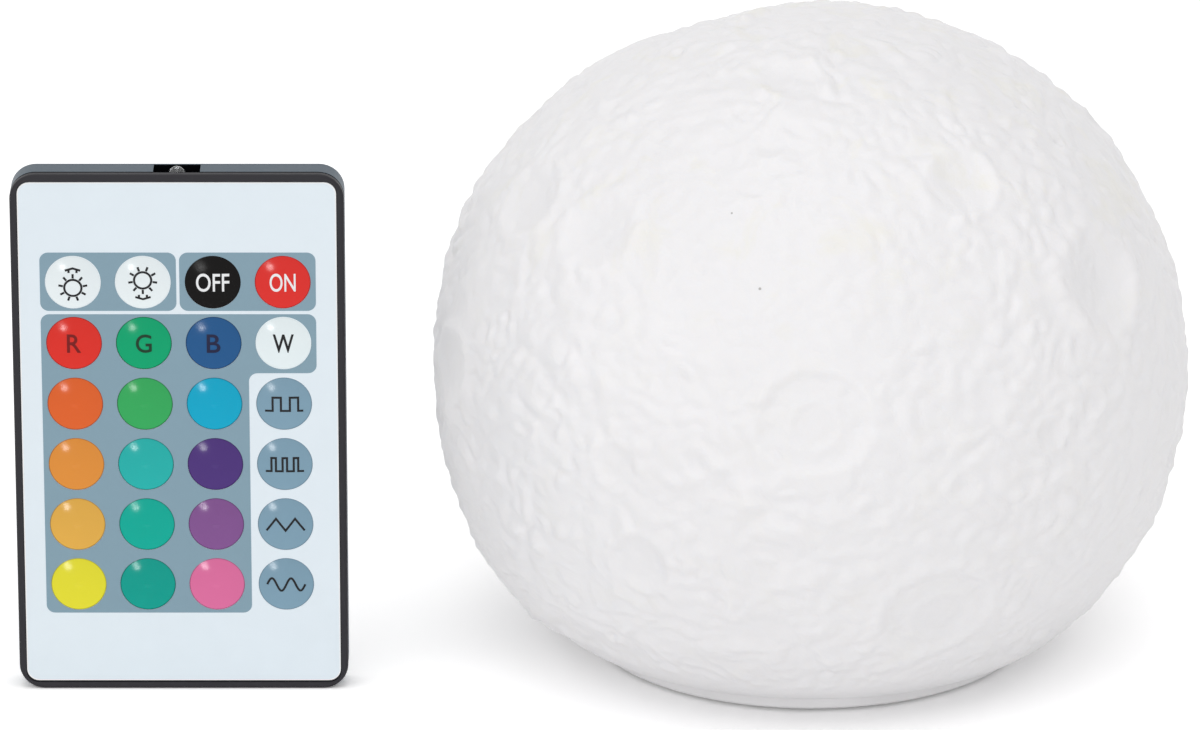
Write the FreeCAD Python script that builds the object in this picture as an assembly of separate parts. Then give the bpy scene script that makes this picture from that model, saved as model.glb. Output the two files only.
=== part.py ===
import FreeCAD
import Part
import math
import os

# A battery lamp in the shape of the moon, with its hand-held remote control standing on end beside it.
# The lamp is a hollow moulded ball that lifts off a round base unit. The base unit holds three small
# cells under a screwed cover, a slide switch, and a deck with a light board.
# Millimetres. +Z is up, +X is to the right as seen from the front, and the front faces -Y.
# The origin is on the table, under the middle of the lamp.

Vector = FreeCAD.Vector
up = Vector(0, 0, 1)

# Overrun by which a cutting tool passes the face that it cuts, and how near two values count as one
overrun = 1.0
hairline = 1e-6

# Moon shell: a ball a little lower than it is wide, flat underneath, with a round mouth
shell_radius = 60.0
shell_half_height = 57.2
shell_wall = 1.8
shell_lip_width = 6.0
shell_edge_round = 1.0
mouth_clearance = 0.4

# Craters of the shell. The wall of a crater slopes, and its floor is round like the ball.
crater_slope = 32.0
# For each crater, its turn about +Z from +X and its height above the equator, both in degrees, then its
# radius and its depth as shares of the shell's radius. Those seen from the front come first.
crater_shares = {
    "middle": (-90.6, 11.4, 0.153, 0.0090),
    "low_right": (-70.1, -23.7, 0.160, 0.0090),
    "low_left": (-118.4, -14.9, 0.088, 0.0085),
    "right_dent": (-33.0, 22.0, 0.105, 0.0120),
    "left_shoulder": (-157.0, 36.3, 0.108, 0.0090),
    "left_brow": (-134.5, 36.0, 0.108, 0.0070),
    "right_brow": (-56.9, 46.9, 0.090, 0.0075),
    "right_small": (-52.8, 5.4, 0.040, 0.0070),
    "right_smaller": (-43.6, 8.0, 0.032, 0.0060),
    "left_edge": (-163.0, 6.0, 0.100, 0.0085),
    "left_dimple": (-121.5, 1.5, 0.060, 0.0075),
    "left_of_middle": (-113.0, 16.0, 0.052, 0.0050),
    "foot_front": (-99.0, -26.5, 0.080, 0.0055),
    "crown": (-100.0, 70.0, 0.085, 0.0050),
    "back_right": (17.0, 14.0, 0.150, 0.0090),
    "back_middle": (76.0, -12.0, 0.115, 0.0085),
    "back_left": (114.0, 29.0, 0.165, 0.0095),
    "back_far_left": (152.0, 2.0, 0.090, 0.0080),
    "back_low_left": (138.0, -27.0, 0.080, 0.0070),
    "back_high": (52.0, 50.0, 0.105, 0.0080),
    "right_low": (2.0, -24.0, 0.082, 0.0075),
    "right_side": (-12.0, 44.0, 0.070, 0.0065),
    "left_low": (176.0, -26.0, 0.070, 0.0070),
    "back_dimple": (88.0, 12.0, 0.050, 0.0065),
}
# Turn of the seam where the ball's surface closes, between two craters
seam_turn = -22.0

# Cells: three of the AAA size, side by side along Y, each the other way round from the next
cell_radius = 5.25
cell_length = 44.5
cell_nub_radius = 1.9
cell_nub_height = 0.8
cell_edge_round = 0.5
cell_gap = 0.6
cell_play = 0.3
cell_count = 3

# Cell contacts: nickel plates at both ends of the cells, and a coil spring at each minus pole
contact_thickness = 0.4
contact_height = 8.0
contact_side_gap = 0.6
terminal_width = 2.0
terminal_rise = 1.6
terminal_play = 0.2
spring_wire = 0.6
spring_length = 4.0
spring_outer_radius = 3.6
spring_inner_radius = 2.2
spring_turns = 3

# Base housing: a flange that the shell stands on and a round plug that fills its mouth
flange_thickness = 2.2
flange_overlap = 1.6
flange_round = 0.6
plug_wall = 1.8
plug_room = 0.4
roof_gap = 2.4
bead_height = 0.3
bead_gap = 0.3
compartment_wall = 1.2

# Seal between the flange and the flat underside of the shell
seal_thickness = 0.8
seal_side_gap = 0.3

# Foot: a soft ring in a groove round the battery cover, on which the lamp stands
foot_proud = 0.5
foot_inset = 0.6
foot_round = 0.3
foot_cover_gap = 0.5
foot_edge_gap = 2.2
foot_play = 0.1

# Battery cover with a captive screw at each end
cover_thickness = 1.6
cover_ledge = 1.2
cover_gap = 0.25
cover_corner = 1.5
cover_tab_margin = 0.7
grip_line_width = 1.0
grip_line_depth = 0.4
grip_line_pitch = 2.2
grip_line_length = 14.0
grip_line_count = 5

# Cross-head screws of the cover, the deck and the light board, all of one size
screw_head_radius = 1.9
screw_head_height = 0.9
screw_shank_radius = 1.0
screw_shank_length = 5.0
screw_recess_width = 0.55
screw_recess_depth = 0.5
screw_play = 0.05
screw_hole_play = 0.2
boss_wall = 1.3

# Deck that closes the base unit at the top, and carries the light board on two posts
deck_thickness = 1.6
deck_round = 0.5
deck_boss_angle = 40.0
deck_edge_gap = 0.3
post_height = 5.0
post_radius = 2.4
post_edge_gap = 1.6

# Light board with four colour LEDs, an infrared receiver, a control chip and small parts
board_radius = 21.0
board_thickness = 1.6
led_side = 5.0
led_height = 1.5
led_window_radius = 1.9
led_window_depth = 0.3
led_ring_share = 0.43
led_first_angle = 45.0
led_count = 4
receiver_width = 6.0
receiver_depth = 3.6
receiver_height = 6.8
receiver_eye_radius = 2.2
receiver_leg_pitch = 2.54
receiver_leg_side = 0.5
receiver_leg_length = 1.4
receiver_edge_gap = 3.2
chip_length = 5.0
chip_width = 3.9
chip_height = 1.4
chip_leg_length = 1.0
chip_leg_width = 0.4
chip_leg_pitch = 1.27
chip_legs_per_side = 4
resistor_length = 2.0
resistor_width = 1.25
resistor_height = 0.5
resistor_pitch = 2.6
resistor_count = 4
resistor_edge_gap = 5.5
capacitor_radius = 2.5
capacitor_height = 5.4
capacitor_edge_gap = 3.0
capacitor_angle = 155.0

# Slide switch beside the cells, worked through a slot in the underside
switch_width = 4.4
switch_height = 4.6
switch_wall = 0.5
switch_travel = 2.4
switch_end_gap = 0.8
switch_gap = 1.2
knob_length = 2.4
knob_width = 1.8
knob_proud = 0.3
knob_play = 0.2
knob_foot_length = 3.6
knob_foot_height = 1.4
switch_pin_radius = 0.4
switch_pin_length = 2.2

# Leads inside the base unit
lead_radius = 0.6
lead_hole_play = 0.3
lead_pad_edge_gap = 3.0
lead_pad_turn = 9.0
lead_level_share = 0.55

# Remote control: place of its lower end beside the lamp, and how its layers stack up
remote_gap = 13.3
remote_forward = 22.1
remote_back_wall = 0.8
remote_side_wall = 1.0
remote_corner = 4.0
remote_edge_round = 0.5
bezel_width = 1.2
overlay_recess = 0.1
overlay_thickness = 0.35
overlay_corner = 1.9
overlay_gap = 0.1
plate_thickness = 0.6
remote_board_thickness = 0.8
remote_board_gap = 0.3
rib_width = 1.2
seam_gap = 0.05
seam_round = 0.2

# Keys: round domes in rows of four, with a metal snap dome under each
key_radius = 4.35
key_crown = 0.35
key_rim_drop = 0.05
key_gap = 0.12
key_travel = 0.3
key_stop_gap = 0.05
key_pitch_across = 10.9
key_pitch_along = 10.1
key_side_margin = 4.1
key_top_margin = 12.1
key_bottom_margin = 12.2
snap_dome_radius = 2.75
snap_dome_height = 0.25
key_rows = [
    ("brighter", "dimmer", "off", "on"),
    ("red", "green", "blue", "white"),
    ("orange", "lime", "sky", "flash"),
    ("apricot", "turquoise", "violet", "strobe"),
    ("amber", "teal", "purple", "fade"),
    ("yellow", "sea_green", "pink", "smooth"),
]

# Coin cell and the tray that carries it out of the lower end
coin_radius = 10.0
coin_thickness = 2.5
coin_cap_radius = 8.7
coin_cap_step = 0.3
coin_play = 0.15
tray_wall = 1.2
tray_end = 1.1
tray_side_gap = 0.2
tray_slit_width = 0.6
tray_slit_length = 9.0
tray_grip_depth = 0.4
tray_grip_width = 7.0
tray_grip_height = 1.0
leaf_width = 3.0
leaf_length = 8.0
leaf_thickness = 0.1

# Infrared LED in the window at the upper end of the remote
ir_radius = 1.45
ir_flange_radius = 1.7
ir_play = 0.1
ir_flange_length = 0.8
ir_body_length = 3.4
ir_proud = 0.3
ir_leg_side = 0.45
ir_leg_pitch = 1.9
ir_leg_length = 3.5
window_width = 7.3

# Parts on the back of the remote's board
blob_radius = 4.5
blob_height = 1.3
blob_share = 0.62
resonator_length = 7.0
resonator_width = 3.2
resonator_height = 2.2
resonator_share = 0.76
resonator_aside = 9.0


# Heights and sizes of the lamp that follow from the values above
flange_bottom = foot_proud
flange_top = flange_bottom + flange_thickness
shell_bottom = flange_top + seal_thickness
cell_pitch = 2 * cell_radius + cell_gap
compartment_length = cell_length + spring_length + 2 * contact_thickness
compartment_width = (cell_count - 1) * cell_pitch + 2 * (cell_radius + cell_play)
cover_top = flange_bottom + cover_thickness
cell_axis = cover_top + cell_play + cell_radius
roof_bottom = cell_axis + cell_radius + cell_play
roof_top = roof_bottom + compartment_wall
screw_pilot_radius = screw_shank_radius + screw_play
screw_hole_radius = screw_shank_radius + screw_hole_play
boss_radius = screw_pilot_radius + boss_wall
cover_screw_reach = compartment_length / 2 + compartment_wall / 2 + boss_radius
compartment_corner = math.hypot(
    compartment_length / 2 + compartment_wall, compartment_width / 2 + compartment_wall
)
plug_inner_radius = plug_room + max(cover_screw_reach + boss_radius, compartment_corner)
plug_radius = plug_inner_radius + plug_wall
plug_top = roof_top + roof_gap
mouth_radius = plug_radius + mouth_clearance
flange_radius = plug_radius + flange_overlap
seat_radius = mouth_radius + shell_lip_width
seat_share = seat_radius / shell_radius
shell_centre = shell_bottom + shell_half_height * math.sqrt(1 - seat_share ** 2)
deck_top = plug_top + deck_thickness
deck_boss_reach = plug_inner_radius + plug_wall / 2 - boss_radius
board_bottom = deck_top + post_height
board_top = board_bottom + board_thickness
post_spread = board_radius - post_edge_gap - post_radius
led_ring_radius = led_ring_share * board_radius
receiver_offset = board_radius - receiver_edge_gap - receiver_depth / 2
resistor_offset = board_radius - resistor_edge_gap - resistor_length / 2
capacitor_offset = board_radius - capacitor_edge_gap - capacitor_radius
lead_pad_spread = board_radius - lead_pad_edge_gap
switch_length = knob_foot_length + switch_travel + 2 * (switch_end_gap + switch_wall)
switch_x = compartment_width / 2 + compartment_wall + switch_gap + switch_width / 2
cover_tab_reach = cover_screw_reach + screw_head_radius + cover_tab_margin + cover_gap
foot_inner_radius = cover_tab_reach + foot_cover_gap
foot_outer_radius = flange_radius - foot_edge_gap

# Sizes of the remote that follow from the values above, in its own frame: x across, y from its lower
# end to its upper end, z from its back to its front
key_columns = len(key_rows[0])
overlay_width = (key_columns - 1) * key_pitch_across + 2 * (key_radius + key_side_margin)
key_field = (len(key_rows) - 1) * key_pitch_along + 2 * key_radius
overlay_length = key_field + key_top_margin + key_bottom_margin
remote_width = overlay_width + 2 * bezel_width
remote_length = overlay_length + 2 * bezel_width
coin_room = coin_thickness + 2 * coin_play
remote_board_back = remote_back_wall + coin_room
remote_split = remote_board_back + remote_board_thickness
key_back = remote_split + snap_dome_height + key_stop_gap + key_travel
plate_back = key_back - key_stop_gap
plate_front = plate_back + plate_thickness
overlay_front = plate_front + overlay_thickness
remote_thickness = overlay_front + overlay_recess
first_row = remote_length - bezel_width - key_top_margin - key_radius
tray_half = coin_radius + coin_play + tray_wall
coin_centre = tray_end + tray_wall + coin_radius
tray_length = coin_centre + coin_radius + tray_wall
tray_back = remote_back_wall + coin_play / 2
tray_front = remote_board_back - coin_play
remote_board_end = remote_length - remote_side_wall - ir_body_length
ir_axis = remote_back_wall + ir_play + ir_flange_radius
remote_centre = -(shell_radius + remote_gap + remote_width / 2)
remote_back_plane = -remote_forward + remote_thickness / 2


def block(x0, x1, y0, y1, z0, z1):
    return Part.makeBox(x1 - x0, y1 - y0, z1 - z0, Vector(x0, y0, z0))


def centred_block(width, length, z0, z1, x=0, y=0):
    return block(x - width / 2, x + width / 2, y - length / 2, y + length / 2, z0, z1)


def disc(radius, z0, z1, x=0, y=0):
    return Part.makeCylinder(radius, z1 - z0, Vector(x, y, z0), up)


def ring(outer, inner, z0, z1):
    return disc(outer, z0, z1).cut(disc(inner, z0 - overrun, z1 + overrun))


def polar(reach, angle):
    turn = math.radians(angle)
    return reach * math.cos(turn), reach * math.sin(turn)


def round_upright_edges(solid, radius):
    edges = [e for e in solid.Edges if abs(abs(e.tangentAt(e.FirstParameter).z) - 1) < hairline]
    return solid.makeFillet(radius, edges)


def rounded_plate(width, length, corner, z0, z1, x=0, y=0):
    return round_upright_edges(centred_block(width, length, z0, z1, x, y), corner)


def round_level_edges(solid, radius, level):
    edges = [
        e
        for e in solid.Edges
        if abs(e.BoundBox.ZMin - level) < hairline and abs(e.BoundBox.ZMax - level) < hairline
    ]
    return solid.makeFillet(radius, edges)


def cap(radius, height, z0, x=0, y=0):
    # Low round dome: the top of a ball, of this radius where it meets the level z0
    ball_radius = (radius ** 2 + height ** 2) / (2 * height)
    ball = Part.makeSphere(ball_radius, Vector(x, y, z0 + height - ball_radius))
    return ball.common(disc(radius + overrun, z0, z0 + height + overrun, x, y))


def group(solids):
    return Part.makeCompound(solids)


def tube(points, radius):
    # Straight runs joined by tangent arcs, each as large as its two runs allow
    edges = []
    start = points[0]
    for before, corner, after in zip(points, points[1:], points[2:]):
        back = (before - corner).normalize()
        ahead = (after - corner).normalize()
        turn = math.pi - back.getAngle(ahead)
        reach = 0.45 * min(corner.distanceToPoint(before), corner.distanceToPoint(after))
        bend = reach / math.tan(turn / 2)
        middle = (back + ahead).normalize()
        inset = bend / math.cos(turn / 2) - bend
        arc_start = corner + back * reach
        arc_end = corner + ahead * reach
        edges.append(Part.LineSegment(start, arc_start).toShape())
        edges.append(Part.Arc(arc_start, corner + middle * inset, arc_end).toShape())
        start = arc_end
    edges.append(Part.LineSegment(start, points[-1]).toShape())
    path = Part.Wire(edges)
    section = Part.Wire(Part.Circle(points[0], points[1] - points[0], radius).toShape())
    return path.makePipeShell([section], True, False)


# Lamp shell


def ellipse_arc(half_width, half_height, z):
    # Quarter of an ellipse and a little more, in the XZ plane, from the height z up to the pole
    # It is an arc of a circle as high as the ellipse, widened point by point.
    low_end = math.degrees(math.asin((z - shell_centre) / half_height))
    places = [polar(half_height, angle) for angle in (low_end, (low_end + 90) / 2, 90)]
    arc = Part.Arc(*[Vector(x, 0, rise) for x, rise in places]).toBSpline()
    for number, pole in enumerate(arc.getPoles(), 1):
        widened = Vector(pole.x * half_width / half_height, 0, shell_centre + pole.z)
        arc.setPole(number, widened)
    return arc.toShape()


def hollow_ball():
    inner_bottom = shell_bottom + shell_wall
    outer = ellipse_arc(shell_radius, shell_half_height, shell_bottom)
    inner = ellipse_arc(shell_radius - shell_wall, shell_half_height - shell_wall, inner_bottom)
    corners = [
        inner.Vertexes[0].Point,
        Vector(mouth_radius, 0, inner_bottom),
        Vector(mouth_radius, 0, shell_bottom),
        outer.Vertexes[0].Point,
    ]
    lines = [Part.LineSegment(a, b).toShape() for a, b in zip(corners, corners[1:])]
    pole = Part.LineSegment(outer.Vertexes[1].Point, inner.Vertexes[1].Point).toShape()
    profile = Part.Wire(Part.__sortEdges__([outer, pole, inner] + lines))
    shell = Part.Face(profile).revolve(Vector(0, 0, 0), up, 360)
    shell.rotate(Vector(0, 0, 0), up, seam_turn)
    low_edges = [
        e
        for e in shell.Edges
        if abs(e.BoundBox.ZMax - shell_bottom) < hairline and e.BoundBox.XMax > mouth_radius + overrun
    ]
    return shell.makeFillet(shell_edge_round, low_edges)


def crater_tool(turn, height, radius, depth):
    # Cone that opens outwards, less a ball that leaves the crater's floor
    flat, rise = polar(1, height)
    across, along = polar(flat, turn)
    aim = Vector(across, along, rise)
    reach = 1 / math.sqrt((flat / shell_radius) ** 2 + (rise / shell_half_height) ** 2)
    spot = up * shell_centre + aim * reach
    normal = Vector(
        aim.x / shell_radius ** 2, aim.y / shell_radius ** 2, aim.z / shell_half_height ** 2
    ).normalize()
    sag = shell_radius - math.sqrt(shell_radius ** 2 - radius ** 2)
    slope = math.tan(math.radians(crater_slope))
    below = sag + 2 * depth
    low_radius = radius - 2 * depth / slope
    high_radius = radius + (overrun + sag) / slope
    cone = Part.makeCone(low_radius, high_radius, below + overrun, spot - normal * below, normal)
    floor = Part.makeSphere(shell_radius, spot - normal * (shell_radius + depth))
    return cone.cut(floor)


def moon_shell():
    tools = [
        crater_tool(turn, height, radius_share * shell_radius, depth_share * shell_radius)
        for turn, height, radius_share, depth_share in crater_shares.values()
    ]
    return hollow_ball().cut(tools)


# Base unit


def cover_outline(grow, z0, z1):
    # Plate over the cells with a rounded tab for the screw at each end
    width = compartment_width + 2 * (cover_ledge + grow)
    length = compartment_length + 2 * (cover_ledge + grow)
    tab_radius = screw_head_radius + cover_tab_margin + grow
    plate = rounded_plate(width, length, cover_corner + grow, z0, z1)
    tabs = [disc(tab_radius, z0, z1, 0, side * cover_screw_reach) for side in (-1, 1)]
    neck = centred_block(2 * tab_radius, 2 * cover_screw_reach, z0, z1)
    return plate.fuse(tabs + [neck]).removeSplitter()


def deck_boss_places():
    angles = [side + turn for side in (0, 180) for turn in (-deck_boss_angle, deck_boss_angle)]
    return [polar(deck_boss_reach, angle) for angle in angles]


def terminal_places():
    # One terminal at the outer cell of each end: plus at the front left, minus at the back right
    end = compartment_length / 2 - contact_thickness / 2
    return [(-cell_pitch, -end), (cell_pitch, end)]


def snap_bead(low):
    # Ridge round the plug, with two slopes, over which the shell's mouth is pushed
    crest = plug_radius + bead_height
    rise = Part.makeCone(plug_radius, crest, bead_height, Vector(0, 0, low), up)
    fall = Part.makeCone(crest, plug_radius, bead_height, Vector(0, 0, low + bead_height), up)
    core = disc(plug_inner_radius, low - overrun, low + 2 * bead_height + overrun)
    return rise.fuse(fall).cut(core)


def base_housing():
    flange = disc(flange_radius, flange_bottom, flange_top)
    flange = round_level_edges(flange, flange_round, flange_bottom)
    wall = ring(plug_radius, plug_inner_radius, flange_top, plug_top)
    bead = snap_bead(shell_bottom + shell_wall + bead_gap)
    box_width = compartment_width + 2 * compartment_wall
    box_length = compartment_length + 2 * compartment_wall
    compartment = centred_block(box_width, box_length, flange_top, roof_top)
    deck_bosses = [disc(boss_radius, flange_top, plug_top, x, y) for x, y in deck_boss_places()]
    cover_boss_top = flange_top + screw_shank_length + boss_wall
    cover_bosses = [
        disc(boss_radius, flange_top, cover_boss_top, 0, side * cover_screw_reach)
        for side in (-1, 1)
    ]
    solid = flange.fuse([wall, bead, compartment] + deck_bosses + cover_bosses).removeSplitter()
    cell_room = centred_block(
        compartment_width, compartment_length, flange_bottom - overrun, roof_bottom
    )
    cover_room = cover_outline(cover_gap, flange_bottom - overrun, cover_top)
    pilots = [
        disc(screw_pilot_radius, plug_top - screw_shank_length, plug_top + overrun, x, y)
        for x, y in deck_boss_places()
    ]
    cover_pilots = [
        disc(screw_pilot_radius, cover_top - overrun, cover_boss_top - boss_wall / 2, 0, y)
        for y in (-cover_screw_reach, cover_screw_reach)
    ]
    foot_groove = ring(
        foot_outer_radius + foot_play,
        foot_inner_radius - foot_play,
        flange_bottom - overrun,
        flange_bottom + foot_inset,
    )
    slot_length = knob_length + switch_travel + 2 * knob_play
    slot = centred_block(
        knob_width + 2 * knob_play, slot_length, 0, flange_top + overrun, switch_x
    )
    terminal_slots = [
        centred_block(
            terminal_width + 2 * terminal_play,
            contact_thickness + 2 * terminal_play,
            roof_bottom - overrun,
            roof_top + overrun,
            x,
            y,
        )
        for x, y in terminal_places()
    ]
    rooms = [cell_room, cover_room, slot, foot_groove]
    return solid.cut(rooms + pilots + cover_pilots + terminal_slots)


def seal_ring():
    return ring(flange_radius - seal_side_gap, plug_radius + seal_side_gap, flange_top, shell_bottom)


def foot_ring():
    foot = ring(foot_outer_radius, foot_inner_radius, 0, flange_bottom + foot_inset)
    return round_level_edges(foot, foot_round, 0)


def battery_cover():
    plate = cover_outline(0, flange_bottom, cover_top)
    head_room = screw_head_height + screw_play
    tools = []
    for y in (-cover_screw_reach, cover_screw_reach):
        tools.append(disc(screw_hole_radius, 0, cover_top + overrun, 0, y))
        head_radius = screw_head_radius + screw_hole_play
        tools.append(disc(head_radius, 0, flange_bottom + head_room, 0, y))
    for line in range(grip_line_count):
        y = (line - (grip_line_count - 1) / 2) * grip_line_pitch
        line_top = flange_bottom + grip_line_depth
        tools.append(centred_block(grip_line_length, grip_line_width, 0, line_top, 0, y))
    return plate.cut(tools)


def screw(x, y, seat, down):
    # Seat is the level on which the head bears. Down is -1 where the head is below its seat.
    head_end = seat + down * screw_head_height
    shank_end = seat - down * screw_shank_length
    head = disc(screw_head_radius, min(seat, head_end), max(seat, head_end), x, y)
    shank = disc(screw_shank_radius, min(seat, shank_end), max(seat, shank_end), x, y)
    recess_end = head_end - down * screw_recess_depth
    low = min(head_end + down * overrun, recess_end)
    high = max(head_end + down * overrun, recess_end)
    arm = screw_head_radius + screw_shank_radius
    slots = [
        centred_block(arm, screw_recess_width, low, high, x, y),
        centred_block(screw_recess_width, arm, low, high, x, y),
    ]
    return head.fuse(shank).removeSplitter().cut(slots)


def cover_screw(side):
    seat = flange_bottom + screw_head_height + screw_play
    return screw(0, side * cover_screw_reach, seat, -1)


def cell(index):
    # The body lies along Y, with its plus nub at the front for even cells and at the back for odd ones
    x = (index - (cell_count - 1) / 2) * cell_pitch
    body_length = cell_length - cell_nub_height
    facing = -1 if index % 2 == 0 else 1
    end = facing * (compartment_length / 2 - contact_thickness)
    along = Vector(0, facing, 0)
    tip = Vector(x, end, cell_axis)
    body = Part.makeCylinder(
        cell_radius, body_length, tip - along * (cell_nub_height + body_length), along
    )
    body = body.makeFillet(cell_edge_round, body.Edges)
    nub = Part.makeCylinder(cell_nub_radius, cell_nub_height, tip - along * cell_nub_height, along)
    return body.fuse(nub).removeSplitter()


def battery_cells():
    return group([cell(index) for index in range(cell_count)])


def contact_plate(cells, facing, terminal):
    # Plate behind the ends of the cells given by their numbers, at the front for -1, the back for 1
    places = [(index - (cell_count - 1) / 2) * cell_pitch for index in cells]
    half = cell_radius - contact_side_gap
    outside = facing * compartment_length / 2
    inside = outside - facing * contact_thickness
    y0 = min(outside, inside)
    y1 = max(outside, inside)
    low = cell_axis - contact_height / 2
    high = cell_axis + contact_height / 2
    plate = block(min(places) - half, max(places) + half, y0, y1, low, high)
    if terminal:
        x = places[0]
        tab = block(
            x - terminal_width / 2, x + terminal_width / 2, y0, y1, low, roof_top + terminal_rise
        )
        plate = plate.fuse(tab).removeSplitter()
    return plate


def battery_contacts():
    return group(
        [
            contact_plate([0], -1, True),
            contact_plate([1, 2], -1, False),
            contact_plate([0, 1], 1, False),
            contact_plate([2], 1, True),
        ]
    )


def coil_spring(index):
    # Conical coil at the minus pole, wide at the plate and narrow at the cell. Each half turn of
    # its wire is an arc that starts and ends square to the coil's axis.
    x = (index - (cell_count - 1) / 2) * cell_pitch
    facing = 1 if index % 2 == 0 else -1
    plate_face = facing * (compartment_length / 2 - contact_thickness)
    wire_radius = spring_wire / 2
    rise = spring_length - spring_wire
    half_turns = 2 * spring_turns
    ends = []
    for step in range(half_turns + 1):
        share = step / half_turns
        reach = spring_outer_radius + share * (spring_inner_radius - spring_outer_radius)
        side = 1 if step % 2 == 0 else -1
        depth = plate_face - facing * (wire_radius + share * rise)
        ends.append(Vector(x + side * reach, depth, cell_axis))
    arcs = []
    for step in range(half_turns):
        first, last = ends[step], ends[step + 1]
        side = 1 if step % 2 == 0 else -1
        top = (first + last) / 2 + Vector(0, 0, side * first.distanceToPoint(last) / 2)
        arcs.append(Part.Arc(first, top, last).toShape())
    section = Part.Wire(Part.Circle(ends[0], Vector(0, 0, 1), wire_radius).toShape())
    return Part.Wire(arcs).makePipeShell([section], True, False)


def battery_springs():
    return group([coil_spring(index) for index in range(cell_count)])


# Deck and light board


def post_places():
    return [(-post_spread, 0), (post_spread, 0)]


def lead_pad(angle):
    return polar(lead_pad_spread, angle)


def lead_routes():
    # Each lead leaves its terminal upwards, passes the deck, leans inwards and enters the board
    plus, minus = terminal_places()
    pin_y = switch_length / 4
    pins = [(switch_x, -pin_y), (switch_x, pin_y)]
    pin_top = flange_top + switch_height + switch_pin_length
    starts = {
        "plus": (plus, roof_top + terminal_rise),
        "minus": (minus, roof_top + terminal_rise),
        "switch_front": (pins[0], pin_top),
        "switch_back": (pins[1], pin_top),
    }
    routes = {}
    for name, ((x, y), low) in starts.items():
        angle = math.degrees(math.atan2(y, x))
        if name.startswith("switch"):
            angle = math.copysign(lead_pad_turn * 2, y)
        pad_x, pad_y = lead_pad(angle)
        bend_low = deck_top + lead_level_share * post_height / 2
        bend_high = deck_top + lead_level_share * post_height
        routes[name] = [
            Vector(x, y, low),
            Vector(x, y, bend_low),
            Vector(pad_x, pad_y, bend_high),
            Vector(pad_x, pad_y, board_bottom),
        ]
    return routes


def led_deck():
    plate = disc(plug_radius - deck_edge_gap, plug_top, deck_top)
    plate = round_level_edges(plate, deck_round, deck_top)
    posts = [disc(post_radius, deck_top, board_bottom, x, y) for x, y in post_places()]
    solid = plate.fuse(posts).removeSplitter()
    holes = [
        disc(screw_hole_radius, plug_top - overrun, deck_top + overrun, x, y)
        for x, y in deck_boss_places()
    ]
    pilots = [
        disc(screw_pilot_radius, board_bottom - screw_shank_length, board_bottom + overrun, x, y)
        for x, y in post_places()
    ]
    lead_holes = [
        disc(lead_radius + lead_hole_play, plug_top - overrun, deck_top + overrun, p[0].x, p[0].y)
        for p in lead_routes().values()
    ]
    return solid.cut(holes + pilots + lead_holes)


def deck_screws():
    return group([screw(x, y, deck_top, 1) for x, y in deck_boss_places()])


def light_board():
    board = disc(board_radius, board_bottom, board_top)
    holes = [
        disc(screw_hole_radius, board_bottom - overrun, board_top + overrun, x, y)
        for x, y in post_places()
    ]
    return board.cut(holes)


def board_screws():
    return group([screw(x, y, board_top, 1) for x, y in post_places()])


def colour_leds():
    solids = []
    for index in range(led_count):
        x, y = polar(led_ring_radius, led_first_angle + index * 360 / led_count)
        top = board_top + led_height
        body = centred_block(led_side, led_side, board_top, top, x, y)
        window = disc(led_window_radius, top - led_window_depth, top + overrun, x, y)
        solids.append(body.cut(window))
    return group(solids)


def ir_receiver():
    # Upright three-legged receiver at the front of the board, with a round eye that looks forwards
    y = -receiver_offset
    low = board_top + receiver_leg_length
    body = centred_block(receiver_width, receiver_depth, low, low + receiver_height, 0, y)
    eye_centre = Vector(0, y - receiver_depth / 2, low + receiver_height / 2)
    body = body.fuse(Part.makeSphere(receiver_eye_radius, eye_centre))
    legs = [
        centred_block(receiver_leg_side, receiver_leg_side, board_top, low, place, y)
        for place in (-receiver_leg_pitch, 0, receiver_leg_pitch)
    ]
    return body.fuse(legs).removeSplitter()


def control_chip():
    body_low = board_top + chip_leg_width / 2
    body = centred_block(chip_width, chip_length, body_low, board_top + chip_height)
    leg_top = board_top + chip_leg_width
    legs = []
    for index in range(chip_legs_per_side):
        y = (index - (chip_legs_per_side - 1) / 2) * chip_leg_pitch
        reach = chip_width + 2 * chip_leg_length
        legs.append(centred_block(reach, chip_leg_width, board_top, leg_top, 0, y))
    return body.fuse(legs).removeSplitter()


def board_parts():
    solids = []
    for index in range(resistor_count):
        x = (index - (resistor_count - 1) / 2) * resistor_pitch
        top = board_top + resistor_height
        solids.append(
            centred_block(resistor_width, resistor_length, board_top, top, x, resistor_offset)
        )
    x, y = polar(capacitor_offset, capacitor_angle)
    solids.append(disc(capacitor_radius, board_top, board_top + capacitor_height, x, y))
    return group(solids)


# Slide switch


def switch_body():
    low = flange_top
    high = flange_top + switch_height
    case = centred_block(switch_width, switch_length, low, high, switch_x)
    room_top = low + knob_foot_height + 2 * knob_play
    room = centred_block(
        switch_width - 2 * switch_wall, switch_length - 2 * switch_wall, low - overrun, room_top,
        switch_x,
    )
    pins = [
        disc(switch_pin_radius, high, high + switch_pin_length, switch_x, side * switch_length / 4)
        for side in (-1, 1)
    ]
    return case.cut(room).fuse(pins)


def switch_knob():
    # Stands at the front end of its slot, which is off
    y = -switch_travel / 2
    low = flange_bottom - knob_proud
    foot_low = flange_top + knob_play
    foot = centred_block(
        switch_width - 2 * (switch_wall + knob_play),
        knob_foot_length,
        foot_low,
        foot_low + knob_foot_height,
        switch_x,
        y,
    )
    stem = centred_block(knob_width, knob_length, low, foot_low, switch_x, y)
    return stem.fuse(foot).removeSplitter()


# Remote control, built flat in its own frame and then stood on its lower end


def stand(shape):
    shape.rotate(Vector(0, 0, 0), Vector(1, 0, 0), 90)
    shape.translate(Vector(remote_centre, remote_back_plane, 0))
    return shape


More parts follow.
